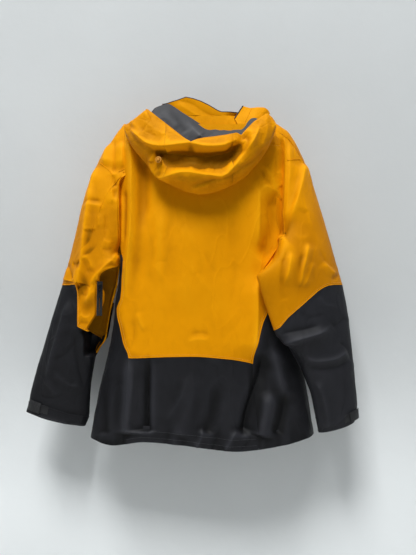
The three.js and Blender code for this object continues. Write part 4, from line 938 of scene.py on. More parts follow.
def arch_angle(side, F):
    """the angle at which each section meets the arch, and how strongly the cloth parts there"""
    if side == "right":
        return np.full(len(ARCH_V), 172.0), np.zeros(len(ARCH_V))
    th = np.linspace(0, 180, 1441)
    P = F(ARCH_V[:, None], th[None, :])
    u, v = project(P)
    d, t = to_line(u, v, LEFT_ARCH)
    right = (d > 0) & (np.abs(d) < 60) & (t > 0.002) & (t < 0.9995) & (th[None, :] > 20)
    first = np.where(right.any(1), th[np.argmax(right, axis=1)], 176.0)
    first = np.clip(first, 30, 176)
    vm = v[np.arange(len(ARCH_V)), np.argmin(np.abs(th[None, :] - first[:, None]), axis=1)]
    on = smooth(262, 271, vm) * (first < 175.5)
    idx = np.where(on > 0)[0]
    first[: idx[0]] = np.linspace(176, first[idx[0]], idx[0] + 1)[:-1]
    first[idx[-1] + 1:] = first[idx[-1]]
    on[idx[-1] + 1:] = 1.0
    for _ in range(6):
        first[1:-1] = (first[:-2] + 2 * first[1:-1] + first[2:]) / 4
    return first, on


def columns(first, v):
    """angles of every column at v, shape (columns,)+v.shape"""
    e = np.interp(v, ARCH_V, first)
    a = [e * i / N1 for i in range(N1 + 1)]
    b = [e + (180 - e) * i / N2 for i in range(N2 + 1)]
    c = [180 + 180 * i / N3 + 0 * e for i in range(1, N3)]
    return np.array(a + b + c)


NCOL = N1 + 1 + N2 + 1 + N3 - 1
COL_SUNK = np.zeros(NCOL)
COL_SUNK[N1 + 1: N1 + 1 + N2 + 1] = 1 - smooth(0.55, 1.0, np.linspace(0, 1, N2 + 1))
COL_BACK = np.zeros(NCOL, bool)
COL_BACK[: N1 + N2 + 2] = True


def crossing(side, F, first, target, lo, hi, n=900):
    vs = np.linspace(lo, hi, n)
    th = columns(first, vs)
    P = F(vs[None, :], th)
    u, v = project(P)
    below = v > target(u)
    i = np.argmax(below, axis=1)
    i = np.where(below.any(1), i, n - 1)
    out = vs[i]
    # the front half runs straight between the two ends
    k = np.where(~COL_BACK)[0]
    a, b = out[N1 + N2 + 1], out[0]
    t = (np.arange(len(k)) + 1) / (len(k) + 1)
    out[k] = a + (b - a) * (0.5 - 0.5 * np.cos(np.pi * t))
    return out


def fold_start(side, F, first):
    vs = np.linspace(0.0, 0.32, 500)
    th = columns(first, vs)
    P = F(vs[None, :], th)
    u, v = project(P)
    d, t = to_line(u, v, FOLD_PX[side])
    inside = (d > 0) if side == "left" else (d < 0)
    ok = inside & (v > FOLD_TOP[side][0]) & (t > 0.001) & (t < 0.999)
    last = np.where(ok.any(1), vs[len(vs) - 1 - np.argmax(ok[:, ::-1], axis=1)], 0.0)
    last[~COL_BACK] = 0.0
    return last


def tube_normals(P):
    du = np.roll(P, -1, 0) - np.roll(P, 1, 0)
    dv = np.gradient(P, axis=1)
    n = np.cross(du, dv)
    n /= np.maximum(np.linalg.norm(n, axis=-1, keepdims=True), 1e-9)
    return n


arm_parts = {}
for side in ("left", "right"):
    s = 1 if side == "left" else -1
    F = sleeve_surface(side)
    first, on = arch_angle(side, F)
    vb = crossing(side, F, first, SEAM_PX[side], 0.3, 0.9)
    vu = crossing(side, F, first, UNDER_PX[side], 0.3, 0.9)
    vc = crossing(side, F, first, CUFF_PX[side], 0.8, 0.995)
    for _ in range(3):
        vc = (np.roll(vc, 1) + 2 * vc + np.roll(vc, -1)) / 4
    ve = fold_start(side, F, first)
    M = 10

    def angles(v, cols):
        e = np.interp(v, ARCH_V, first)
        th = np.empty_like(v)
        for q, i in enumerate(cols):
            if i <= N1:
                th[q] = e[q] * i / N1
            elif i <= N1 + 1 + N2:
                th[q] = e[q] + (180 - e[q]) * (i - N1 - 1) / N2
            else:
                th[q] = 180 + 180 * (i - N1 - 1 - N2) / N3
        return th

    def part(name, va, vz, nv, material, node, upper, under=0.0, cols=None, sunk=None):
        wrap = cols is None
        cols = np.arange(NCOL) if wrap else np.array(cols)
        vz = vz[cols]
        if upper:
            ve_ = ve[cols]
            v = np.concatenate([np.linspace(0, 1, M)[None, :] * ve_[:, None], ve_[:, None] + (vz - ve_)[:, None] * np.linspace(0, 1, nv)[None, 1:]], 1)
        else:
            va = va[cols]
            v = va[:, None] + (vz - va)[:, None] * np.linspace(0, 1, nv)[None, :]
        th = angles(v, cols)
        P = F(v, th)
        out = F(v, th, 10.0) - P
        h = arm_relief(side, P, th, upper)
        u_, v_ = project(P)
        n = grid_normals(P, wrap)
        sg = np.sign((n * out).sum(-1, keepdims=True))
        sg[sg == 0] = 1
        n = n * sg
        Q = P + n * (h - under)[..., None]
        if side == "left" and upper and sunk is None:
            on_ = np.interp(v, ARCH_V, on)
            near = ((N1 - cols).clip(0)[:, None] / 10.0)
            is_main = (cols <= N1)[:, None]
            Q[..., 1] += is_main * on_ * (4.5 * np.exp(-near ** 1.6) + smooth(283, 300, v_) * smooth(70, 78, u_) * (4 + 6 * smooth(300, 330, v_)))
            # the free edge turns under
            Q[..., 1] -= is_main * on_ * 7 * np.exp(-((N1 - cols).clip(0)[:, None] / 1.6) ** 2)
        if sunk is not None:
            on_ = np.interp(v, ARCH_V, on)
            Q[..., 1] -= on_ * sunk[:, None] * 36 + 1.4 * (1 - on_)
        if upper and sunk is None:
            Q = press_under(Q, side + "_pit_zip", 7.5, 5.0)
        if upper:
            yb = depth(np.clip(Q[..., 0], -210, 210), Q[..., 2], True)
            j = np.arange(v.shape[1])[None, :]
            k = (ve_[:, None] > 0.004) * smooth(M - 0.5, M - 3.0, j) * smooth(FOLD_TOP[side][0], FOLD_TOP[side][1], v_)
            k = k * (j < M)
            tuck = np.minimum(Q[..., 1], yb - 7)
            Q[..., 1] = Q[..., 1] * (1 - k) + tuck * k
            roll = np.exp(-((j - M + 1).clip(0) / 5.0) ** 1.5) * (j >= M - 1) * (ve_[:, None] > 0.004) * smooth(FOLD_TOP[side][0], FOLD_TOP[side][1], v_)
            Q[..., 1] += 3.0 * roll
        shade = relief_shade(h, P)
        # painted shadow: the underarm cloth is painted darker where it sinks under the arch
        if sunk is not None:
            shade = shade - 1.0 * on_ * sunk[:, None]
        # painted shade: yellow sleeve cloth painted darker below picture row 175 towards the elbow; the left black
        # sleeve painted darker and the right one lighter, as light falls on them unevenly
        ob = cloth(name, Q, lambda _: out, t_cloth, material, wrap=wrap, fold=np.clip(shade - (0.05 + 0.32 * smooth(175, 240, v_) if material is AMBER else (0.3 if s > 0 else -0.25)), -1, 1))
        if node:
            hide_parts(node)
        return ob, Q

    gap = 0.0006
    if side == "left":
        main_cols = list(range(N1 + N2 + 1, NCOL)) + list(range(0, N1 + 1))
        up, upg = part("left_upper_sleeve_cloth", None, vb - gap, 230, AMBER, "left_upper_sleeve", True, cols=main_cols)
        strip_end = crossing(side, F, first, STRIP_PX, 0.3, 0.9)
        sc = np.concatenate([[N1 - 14, N1 - 9, N1 - 4], np.arange(N1 + 1, N1 + N2 + 4)])
        ramp_ = np.interp(sc, [N1 - 14, N1 - 4, N1 + 1, N1 + 1 + 0.6 * N2, N1 + N2 + 1, N1 + N2 + 3], [1.0, 1.0, 1.0, 0.75, 0.06, 0.06])
        under_arm, under_grid = part("left_underarm_cloth", None, strip_end - gap, 200, AMBER, None, True, cols=sc, sunk=ramp_)
    else:
        up, upg = part(side + "_upper_sleeve_cloth", None, vb - gap, 230, AMBER, side + "_upper_sleeve", True)
    lo_, log = part(side + "_lower_sleeve_cloth", np.minimum(vu, vb) + gap, vc - gap, 200, BLACK, side + "_lower_sleeve", False, 1.2 if side == "left" else 0.0)
    if side == "left":
        # pull the black cloth back under the yellow strip
        me = lo_.data
        co = np.empty(len(me.vertices) * 3)
        me.vertices.foreach_get("co", co)
        co = co.reshape(-1, 3)
        U_, V_ = project(co * 1000)
        k = smooth(358, 351, V_) * smooth(83, 88, U_) * (co[:, 1] > 0.0)
        co[:, 1] -= 0.052 * k
        me.vertices.foreach_set("co", co.ravel())
        me.update()
    cu, cug = part(side + "_cuff_cloth", vc + gap, np.full(NCOL, 1.0), 46, BLACK, side + "_cuff", False)
    arm_parts[side] = (F, up, lo_, cu, vb, vc, first, upg, log, cug)

for side in ("left", "right"):
    F, up, lo_, cu, vb, vc, first, upg, log, cug = arm_parts[side]
    s = 1 if side == "left" else -1
    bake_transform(up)
    if side == "left":
        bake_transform(under_arm)
    j = [q for q in frame["joints"] if q["name"] == side + "_elbow_bend"][0]
    ax = Vector(j["axis"])
    along = Vector((-ax.z, 0, ax.x))
    if along.z > 0:
        along = -along
    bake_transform(lo_)
    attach(cu, side + "_forearm")

# ------------------------------------------------------------------ hood
HOOD_LEN = 1


def hood_table():
    """x, rim z, bottom z, furthest back y: from the hood's drawn outline"""
    rim = [(124.5, 126), (129, 123.5), (132.7, 121.5), (138, 117.5), (147, 109.3), (152, 113.2), (160, 119.5), (170, 127.2), (180, 135), (188, 141.2), (191.2, 143.4), (196.5, 139.6), (205, 138), (214, 137), (226, 135.2), (237, 133.2), (241, 135.6), (247, 129), (254, 122), (261, 117.5), (267.5, 113.5), (272, 118), (275, 124)]
    bot = [(124, 129.5), (126, 137), (130, 144.5), (134, 150), (140, 157.5), (147, 165), (153.5, 171.5), (160, 178), (167, 182.6), (174, 186), (182, 189.9), (190, 192.3), (199, 193.6), (207, 193.2), (216, 191), (225, 188), (233, 184.6), (241, 180), (248, 174.4), (254, 168), (260, 161.3), (265, 154), (268.8, 147.5), (271.5, 141), (274, 134), (275.5, 127.5)]
    rl, bl = lin(rim), lin(bot)
    rows = []
    for px in np.linspace(124.5, 275, 90):
        t = (px - 124.5) / 150.5
        far = 84 + 52 * np.sin(np.pi * t) ** 0.8
        x, zr = unproject(px, rl(px), far - 14)
        _, zb = unproject(px, bl(px), far - 16)
        rows.append((float(x), float(zr), float(zb), far))
    return rows


HROWS = hood_table()
hood_z = curve(HROWS)
HX0, HX1 = HROWS[0][0], HROWS[-1][0]
HOOD_FOLDS = [
    # the rolled upper lip: soft above, sharp underneath, and the shadowed valley below it
    ("fold", 15, 7.0, 2.8, [(128, 128), (138, 136), (147, 143.5), (156, 147.3), (166, 147.6), (178, 146.6), (190, 146), (206, 148.5), (222, 147.8), (234, 142), (240, 137)], 0.1, 0.15),
    ("fold", -19, 2.8, 10.0, [(147, 147), (155, 151.5), (167, 153), (184, 152.6), (204, 154.2), (222, 153), (235, 148), (247, 141)], 0.14, 0.12),
    ("soft", -13, 7.0, 7.0, [(158, 161), (172, 162), (186, 162), (204, 163), (222, 162), (236, 155), (247, 147)], 0.15, 0.15),
    # lower crest that swings up to the right shoulder
    ("fold", 13.2, 3.0, 6.5, [(146, 157), (153, 168), (161, 177), (172, 174), (184, 172.6), (204, 175.2), (221, 176.8), (231, 169.5), (240, 159), (249, 147), (257, 133), (262, 121)], 0.12, 0.1),
    ("fold", -8, 4.0, 2.5, [(186, 188.5), (200, 184.8), (213, 180.5), (228, 176.8), (243, 169), (258, 158), (267, 146)], 0.15, 0.1),
    # left: small steps where the roll tucks in
    ("fold", 6, 2.5, 4.0, [(155.5, 148), (152, 156), (149.5, 163)], 0.15, 0.15),
    ("fold", -6, 2.0, 4.0, [(159, 150), (157, 157), (156, 165)], 0.15, 0.3),
    ("fold", 4.0, 2.0, 3.0, [(160, 152), (168, 155), (178, 155)], 0.2, 0.4),
    ("fold", 4.5, 2.0, 3.2, [(156, 170), (163, 172), (172, 171)], 0.2, 0.3),
    # dent at the right
    ("fold", 7, 3.0, 3.0, [(237, 137), (245, 132), (251, 134), (251, 141), (247, 149)], 0.2, 0.2),
    ("fold", -10, 2.5, 3.0, [(240, 141), (245.5, 138), (248, 142), (246, 150), (241, 156)], 0.2, 0.3),
    # long rubbed creases
    ("fold", 3.0, 2.0, 3.5, [(136, 139), (143, 134), (151, 130.5)], 0.3, 0.3),
    ("fold", 2.6, 2.0, 3.5, [(141, 120), (150, 127), (160, 133), (172, 138)], 0.3, 0.3),
    ("fold", -2.6, 2.0, 3.5, [(139, 128), (149, 134), (160, 139)], 0.3, 0.3),
    ("fold", 3.0, 2.0, 3.5, [(206, 174), (212, 163), (220, 155)], 0.2, 0.4),
    ("fold", -3.0, 2.0, 3.5, [(197, 172), (205, 161), (211, 155)], 0.2, 0.4),
    ("fold", 2.6, 2.0, 3.5, [(226, 171), (231, 160), (240, 153)], 0.2, 0.4),
    ("fold", 4.0, 2.0, 4.0, [(160, 181), (170, 179), (184, 182)], 0.2, 0.3),
    ("fold", 3.2, 2.0, 4.0, [(190, 190), (203, 187), (214, 183.5)], 0.2, 0.3),
    ("fold", 4.0, 3.0, 3.0, [(264, 118), (267, 127), (264, 140), (256, 154)], 0.2, 0.3),
    ("fold", -3.4, 2.0, 2.0, [(258, 120), (259, 130), (254, 142)], 0.2, 0.3),
    ("soft", 5, 8.0, 8.0, [(131, 128), (141, 117), (148, 113)], 0.2, 0.1),
]


def hood_point(x, w, off=0.0, zfac=0.0):
    """the pouch: w 0 at the rim, over the outside, round the bottom and up its inner wall at 1"""
    zr, zb, ym = hood_z(x, 0), hood_z(x, 1), hood_z(x, 2)
    H = zr - zb
    yi = lambda z: backd(z) + 6
    zt = np.maximum(zr, -40.0) + 4
    Y = [ym - 14, ym - 4, ym, ym - 2, yi(zb) + (ym - yi(zb)) * 0.62, yi(zb) + (ym - yi(zb)) * 0.3, yi(zb + 12) + 1, yi(zb + 0.45 * H), yi(-40) + 0 * x]
    Z = [zr, zr - 0.22 * H, zr - 0.5 * H, zr - 0.78 * H, zb + 0.04 * H + 2, zb + 0 * x, zb + 0.1 * H + 5, zb + 0.45 * H, zt]
    Yp, Zp = np.stack(Y, -1), np.stack(Z, -1)
    n = Yp.shape[-1]
    t = np.clip(w, 0, 1) * (n - 1)
    i = np.minimum(np.floor(t).astype(int), n - 2)
    f = t - i
    take = lambda A, k: np.take_along_axis(A, np.clip(k, 0, n - 1)[..., None], -1)[..., 0]
    out = []
    for A in (Yp, Zp):
        p0, p1, p2, p3 = take(A, i - 1), take(A, i), take(A, i + 1), take(A, i + 2)
        p0 = np.where(i == 0, 2 * p1 - p2, p0)
        p3 = np.where(i == n - 2, 2 * p2 - p1, p3)
        out.append(0.5 * ((2 * p1) + (-p0 + p2) * f + (2 * p0 - 5 * p1 + 4 * p2 - p3) * f**2 + (-p0 + 3 * p1 - 3 * p2 + p3) * f**3))
    return np.stack([x + 0 * out[0], out[0], out[1]], -1)


def hood_relief(P, w):
    u, v = project(P)
    m = smooth(0.66, 0.5, w)
    h = strokes(u, v, HOOD_FOLDS) * m
    h = h + 2.0 * noise(P, (50, 60, 50), 91) * m
    h = h + (0.9 * creases(P, (40, 40, 34), 101, 7) - 0.9 * creases(P, (34, 34, 30), 111, 7)) * m + 0.35 * noise(P, (12, 12, 12), 117)
    return h * smooth(0.0, 0.03, w)


hood_seams = [HX0, 88.0, -72.0, HX1]
hood_seams = sorted([float(max(HX0, HX1)), 88.0, -72.0, float(min(HX0, HX1))], reverse=True)
for name, xa, xb, nu, node in (("hood_left_cloth", hood_seams[0], hood_seams[1] + 0.2, 80, "hood_left_panel"), ("hood_centre_cloth", hood_seams[1] - 0.2, hood_seams[2] + 0.2, 110, "hood_centre_panel"), ("hood_right_cloth", hood_seams[2] - 0.2, hood_seams[3], 80, "hood_right_panel")):
    X = np.linspace(xa, xb, nu)[:, None]
    W = np.linspace(0, 1, 210)[None, :]
    X, W = np.broadcast_arrays(X, W)
    P = hood_point(X, W)
    # outside of the pouch: away from a line through its middle
    mid = np.stack([X, 0 * X + 84, (hood_z(X, 0) + hood_z(X, 1)) / 2 + 0 * W], -1)
    out = P - mid
    out[..., 1] = np.where(W < 0.5, np.abs(out[..., 1]) + 20, out[..., 1])
    out[..., 1] = np.where(W > 0.72, -30, out[..., 1])
    h = hood_relief(P, W)
    Q = offset_grid(P, h, lambda _: out)
    # painted shade: the hood cloth is painted 0.22 darker all over, and its outside up to 1.15 darker where the relief
    # sinks below -4 mm, in the valleys under the lip
    ob = cloth(name, Q, lambda _: out, t_cloth, AMBER, fold=np.clip(relief_shade(h, P) - 0.22 - 1.15 * smooth(-4, -17, h) * (W < 0.5), -1, 1))
    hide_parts(node)
    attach(ob, "hood")

# collar contact line of the lining, from the drawn strip's lower edge
con = [(unproject(px, py, 52)[0], unproject(px, py, 52)[1]) for px, py in [(152, 110), (160, 106.5), (168, 104.5), (174, 107.5), (182, 113), (191, 118.6), (199, 124), (207, 129.2), (224, 130.3), (241, 130), (246, 125), (251, 119.5), (262, 116)]]
contact = curve([(float(a), float(b)) for a, b in con])
nu, nv = 190, 150
X = np.linspace(max(HX0, HX1) - 5, min(HX0, HX1) + 5, nu)[:, None]
W = np.linspace(0, 1, nv)[None, :]
X, W = np.broadcast_arrays(X, W)
# the part behind the outer cloth
w1 = np.clip(0.004 + W / 0.5 * 0.496, 0, 0.5)
O = hood_point(X, w1)
mid = np.stack([X, 0 * X + 84, (hood_z(X, 0) + hood_z(X, 1)) / 2 + 0 * W], -1)
oo = O - mid
oo[..., 1] = np.abs(oo[..., 1]) + 20
hO = hood_relief(O, w1)
nO = grid_normals(O, False)
sg = np.sign((nO * oo).sum(-1, keepdims=True))
sg[sg == 0] = 1
OUT_IN = O + nO * sg * (hO - 3.8 - 0.5 * np.clip(-hO - 4, 0, None))[..., None]
# deeper under the notch of the lip
u_, v_ = project(OUT_IN)
OUT_IN[..., 1] -= 9 * np.exp(-((u_ - 191) / 9.0) ** 2 - ((v_ - 151.5) / 5.0) ** 2)
# the part that runs up from the pouch to the collar
zr, zb, ym = hood_z(X, 0), hood_z(X, 1), hood_z(X, 2)
H = zr - zb
cz = np.clip(contact(X), -60, 30)
inside = smooth(150, 118, X) * smooth(-158, -120, X)
cz = -34 + (cz + 34) * inside
cy = backd(np.minimum(cz, -14)) + 7 + 0 * X
ypts = [backd(zb + 24) + 18, backd(zb + 50) + 14, cy + 12 + 0 * X, cy]
zpts = [zb + 16 + 0.05 * H, zb + 0.35 * H, zb + 0.35 * H + (cz - zb - 0.35 * H) * 0.6, cz]
e0y, e0z = OUT_IN[..., 1], OUT_IN[..., 2]
jm = int(0.5 * (nv - 1))
sy, sz = OUT_IN[:, jm, 1][:, None] + 0 * X, OUT_IN[:, jm, 2][:, None] + 0 * X
Yp, Zp = np.stack([sy] + [q + 0 * X for q in ypts], -1), np.stack([sz] + [q + 0 * X for q in zpts], -1)
n = Yp.shape[-1]
t = np.clip((W - W[0, jm]) / (1 - W[0, jm]), 0, 1) * (n - 1)
i = np.minimum(np.floor(t).astype(int), n - 2)
f = t - i
res = []
for A in (Yp, Zp):
    take = lambda k: np.take_along_axis(A, np.clip(k, 0, n - 1)[..., None], -1)[..., 0]
    p0, p1, p2, p3 = take(i - 1), take(i), take(i + 1), take(i + 2)
    p0 = np.where(i == 0, 2 * p1 - p2, p0)
    p3 = np.where(i == n - 2, 2 * p2 - p1, p3)
    res.append(0.5 * ((2 * p1) + (-p0 + p2) * f + (2 * p0 - 5 * p1 + 4 * p2 - p3) * f**2 + (-p0 + 3 * p1 - 3 * p2 + p3) * f**3))
first_part = W <= W[0, jm]
P = np.stack([np.where(first_part, OUT_IN[..., 0], X), np.where(first_part, OUT_IN[..., 1], res[0]), np.where(first_part, OUT_IN[..., 2], res[1])], -1)
LINING_FOLDS = [
    ("fold", 7, 3.0, 4.5, [(186, 113), (190, 124), (200, 137)], 0.1, 0.0),
    ("fold", -7, 3.0, 3.0, [(192, 116), (200, 126), (212, 134)], 0.1, 0.0),
    ("fold", 5, 2.5, 4.0, [(196, 119), (208, 128), (218, 134)], 0.2, 0.0),
    ("fold", -4, 3.0, 4.0, [(172, 108), (178, 120), (186, 134)], 0.2, 0.1),
    ("soft", 4, 4.0, 4.0, [(160, 110), (170, 120), (178, 130)], 0.2, 0.2),
]
u_, v_ = project(P)
h = (strokes(u_, v_, LINING_FOLDS) + 1.5 * noise(P, 40, 131) + 0.8 * creases(P, 30, 137)) * smooth(0.55, 0.66, W) * (1 - smooth(0.9, 0.98, W))
mid2 = np.stack([X, 0 * X + 100, (zr + zb) / 2 + 14], -1)
out = mid2 - P
out[..., 2] += 20 * (W > 0.5)
Q = offset_grid(P, h, lambda _: out)
# painted shade: the lining is painted darker where it lies deep in the pouch (w below 0.86) and x is below 120 mm
ob = cloth("hood_lining_cloth", Q, lambda _: out, 0.9, GREY, fold=np.clip(relief_shade(h, P) - 1.1 * smooth(0.86, 0.7, W) * smooth(120, 90, X), -1, 1))
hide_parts("hood_lining")
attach(ob, "hood")

# ------------------------------------------------------------------ collar
def collar_loop():
    pts = []

    def push(x, back):
        z = -12.0 if back else -12 - 40 * (1 - min(1, abs(x) / NECK) ** 2)
        y = float(depth(np.array(float(x)), np.array(z), back)) * (1 if back else -1)
        pts.append((x, y, z))

    for x in (11, 30, 52, 72, 86, 92.5):
        push(x, False)
    for x in (92.5, 86, 72, 52, 26, 0, -26, -52, -72, -86, -92.5):
        push(x, True)
    for x in (-92.5, -86, -72, -52, -30, -11):
        push(x, False)
    return np.array(pts)


loop = collar_loop()
S = np.concatenate([[0], np.cumsum(np.linalg.norm(np.diff(loop, axis=0), axis=1))])
S /= S[-1]
lc = curve([(a, *b) for a, b in zip(S, loop)])
T = np.linspace(0, 1, 260)
base = np.stack([lc(T, 0), lc(T, 1), lc(T, 2)], -1)
tops = [(unproject(px, py, 48)[0], unproject(px, py, 48)[1]) for px, py in [(168, 104), (177, 101), (186, 98), (193, 99.5), (200.5, 102), (209, 106.2), (217, 111), (226, 115), (236, 119), (245, 121)]]
top_back = curve([(float(a), float(b)) for a, b in tops])
top_front = curve([(-110, -6), (-70, -6), (-40, -4), (0, 8), (30, 20), (80, 30), (110, 24)])
backness = smooth(-20, 30, base[:, 1])
flare = 1.12
tx = base[:, 0] * flare
top_px = lin([(160, 106), (168, 104), (177, 101), (186, 98), (193, 99.5), (200.5, 102), (209, 106.2), (217, 111), (226, 114.8), (236, 118), (246, 121)])
px_here = project(np.stack([tx, base[:, 1] * 1.02, tx * 0], -1))[0]
tb = unproject(px_here, top_px(px_here), base[:, 1] * 1.02)[1]
tz = top_front(tx) * (1 - backness) + tb * backness
tz = np.maximum(tz, base[:, 2] + 8)
ty = base[:, 1] * 1.02
nrm = np.gradient(base[:, :2], axis=0)
nrm = np.stack([nrm[:, 1], -nrm[:, 0]], -1)
nrm /= np.linalg.norm(nrm, axis=1, keepdims=True)
flip = np.sign((nrm * base[:, :2]).sum(1, keepdims=True))
nrm *= flip
for _ in range(8):
    nrm[1:-1] = (nrm[:-2] + 2 * nrm[1:-1] + nrm[2:]) / 4
nrm /= np.linalg.norm(nrm, axis=1, keepdims=True)
W = np.linspace(0, 1, 40)
COLLAR_FOLDS = [
    ("fold", 2.2, 2.0, 2.5, [(176, 103), (190, 112), (206, 121), (222, 124)], 0.2, 0.2),
    ("fold", -2.0, 1.5, 2.5, [(172, 100), (190, 104), (206, 114), (226, 121)], 0.2, 0.2),
]


def collar_sheet(name, offset, zdrop, thick, material, node, fold=1.0):
    P = np.zeros((len(T), len(W), 3))
    for a in range(3):
        lo_a = base[:, a][:, None]
        hi_a = (tx, ty, tz - zdrop)[a][:, None]
        P[..., a] = lo_a + (hi_a - lo_a) * W[None, :]
    P[..., 0] += nrm[:, 0][:, None] * offset
    P[..., 1] += nrm[:, 1][:, None] * offset
    u, v = project(P)
    h = strokes(u, v, COLLAR_FOLDS) * smooth(10, 30, P[..., 1]) * fold
    h = h + 1.2 * noise(P, (30, 30, 30), 151) * W[None, :]
    P[..., 0] += nrm[:, 0][:, None] * h
    P[..., 1] += nrm[:, 1][:, None] * h
    # the fold attribute: painted shade in valleys and painted highlight on crests
    ob = cloth(name, P, lambda Q: np.concatenate([np.broadcast_to(nrm[:, None, :], Q.shape[:2] + (2,)), 0 * Q[..., :1]], -1), thick, material, fold=relief_shade(h, P))
    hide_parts(node)
    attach(ob, "shell")
    return ob, P


collar, collar_grid = collar_sheet("collar_cloth", 0.0, 0.0, t_cloth, AMBER, "collar_shell")
collin, _ = collar_sheet("collar_lining_cloth", -2.2, 1.0, 0.9, PALE, "collar_lining")
# dark binding along the collar's top edge
bind = collar_grid[:, -1, :] + np.concatenate([-nrm * 1.1, np.full((len(T), 1), 0.6)], 1)
ob = tube_along("collar_binding", bind[::2], 1.5, TAPE, 8)
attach(ob, "shell")

# ------------------------------------------------------------------ seams and stitches
def resample(path, step):
    p = np.array(path, float)
    S = np.concatenate([[0], np.cumsum(np.linalg.norm(np.diff(p, axis=0), axis=1))])
    n = max(3, int(S[-1] / step) + 1)
    t = np.linspace(0, S[-1], n)
    return np.stack([np.interp(t, S, p[:, k]) for k in range(3)], -1)


def smooth_path(p, times=2):
    p = np.array(p, float)
    for _ in range(times):
        p[1:-1] = (p[:-2] + 2 * p[1:-1] + p[2:]) / 4
    return p


def on_grid(Q, pts, n=60, facing=None):
    """the drawn line laid on a surface grid"""
    line = smooth_line(pts, n)
    u, v = project(Q)
    flat = Q.reshape(-1, 3)
    U, V = u.ravel(), v.ravel()
    ok = np.ones(len(U), bool) if facing is None else facing.ravel()
    idx = np.where(ok)[0]
    out = []
    for a, b in line:
        d = (U[idx] - a) ** 2 + (V[idx] - b) ** 2
        k = np.argpartition(d, 5)[:5]
        w = 1 / (d[k] + 0.02)
        out.append((flat[idx[k]] * w[:, None]).sum(0) / w.sum())
    return smooth_path(out, 3)


def lifted(path, out, by):
    return np.array(path) + np.array(out, float) * by


def stitches(name, paths, material, out=(0, 1, 0), pitch=3.4, length=2.4, r=0.42, lift=0.35):
    """rows of sewn stitches, one small rounded bar each"""
    V, Fc = [], []
    o = np.array(out, float)
    for path in paths:
        p = resample(path, 0.85)
        S = np.concatenate([[0], np.cumsum(np.linalg.norm(np.diff(p, axis=0), axis=1))])
        at = lambda q: np.array([np.interp(q, S, p[:, k]) for k in range(3)])
        q = 0.6
        while q + length < S[-1]:
            a, b = at(q), at(q + length)
            t = (b - a) / max(np.linalg.norm(b - a), 1e-6)
            side = np.cross(t, o)
            side /= max(np.linalg.norm(side), 1e-6)
            up = np.cross(side, t)
            base_i = len(V)
            for f, rr, h in ((0.0, 0.35, 0.1), (0.15, 1.0, 0.8), (0.85, 1.0, 0.8), (1.0, 0.35, 0.1)):
                c = a + (b - a) * f + up * (lift * h)
                for ang in (0, 60, 120, 180, 240, 300):
                    g_ = math.radians(ang)
                    V.append((c + (side * math.cos(g_) + up * math.sin(g_)) * r * rr) / 1000)
            for k in range(3):
                for m in range(6):
                    a0, a1 = base_i + k * 6 + m, base_i + k * 6 + (m + 1) % 6
                    Fc.append([a0, a1, a1 + 6, a0 + 6])
            Fc.append([base_i + m for m in range(6)][::-1])
            Fc.append([base_i + 18 + m for m in range(6)])
            q += pitch
    return new_mesh(name, np.array(V), Fc, material, angle=80)


def welt(name, path, r, material, lift=0.0, out=(0, 1, 0), squash_=0.55):
    p = resample(path, 2.6)
    return tube_along(name, lifted(p, out, lift), r, material, 7)


def row(Q, j, i0=0, i1=None):
    return Q[i0:i1, j]


# the right front end of the collar folded back over the shoulder, with its bound edge
def px_patch(top, bottom, ytop, ybottom, nu, nv, bulge=2.0, seed=5):
    a_, b_ = smooth_line(top, nu), smooth_line(bottom, nu)
    W_ = np.linspace(0, 1, nv)[None, :]
    px = a_[:, 0][:, None] + (b_[:, 0] - a_[:, 0])[:, None] * W_
    py = a_[:, 1][:, None] + (b_[:, 1] - a_[:, 1])[:, None] * W_
    yt = np.interp(np.linspace(0, 1, nu), np.linspace(0, 1, len(ytop)), ytop)[:, None]
    yb_ = np.interp(np.linspace(0, 1, nu), np.linspace(0, 1, len(ybottom)), ybottom)[:, None]
    Y = yt + (yb_ - yt) * W_ + bulge * np.sin(np.pi * W_) * np.sin(np.pi * np.linspace(0, 1, nu))[:, None]
    x, z = unproject(px, py, Y)
    P_ = np.stack([x, Y + 0 * x, z], -1)
    P_[..., 1] += 1.0 * noise(P_, 18, seed) + 0.8 * creases(P_, 22, seed + 3)
    return P_


flap = px_patch([(242.9, 106.7), (246, 107.6), (251, 108.6), (258, 107.9), (263, 108), (268, 110.6), (270, 114)], [(234.5, 119.2), (240, 128), (247, 131), (253, 128), (259, 124), (264, 121), (268, 118)], [34, 36, 38, 36, 30], [44, 52, 56, 50, 34], 60, 40, 3.0, 171)
ob = cloth("collar_fold_cloth", flap, (0, 1, 0), t_cloth, AMBER, fold=0 * flap[..., 0])
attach(ob, "shell")
ob = tube_along("collar_fold_binding", lifted(smooth_path(flap[0], 1), (0, 1, 0), 0.4), 1.5, TAPE, 8)
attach(ob, "shell")
ob = welt("collar_fold_seam", lifted(flap[18], (0, 1, 0), 0.2), 0.6, AMBER)
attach(ob, "shell")

# back panel: edge bands and a row of topstitching inside them
bg = back_grid
nvb = bg.shape[1]
left_ok = bg[-1, :, 2] < -372
ob = welt("back_seam_welt", np.concatenate([bg[0, :][bg[0, :, 2] < -425], row(bg, -1), bg[-1, :][left_ok][::-1]]), 1.0, AMBER, 0.15)
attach(ob, "shell")


def inset(path, toward, by):
    p = np.array(path, float)
    d = toward - p
    return p + d / np.maximum(np.linalg.norm(d, axis=1, keepdims=True), 1e-6) * by


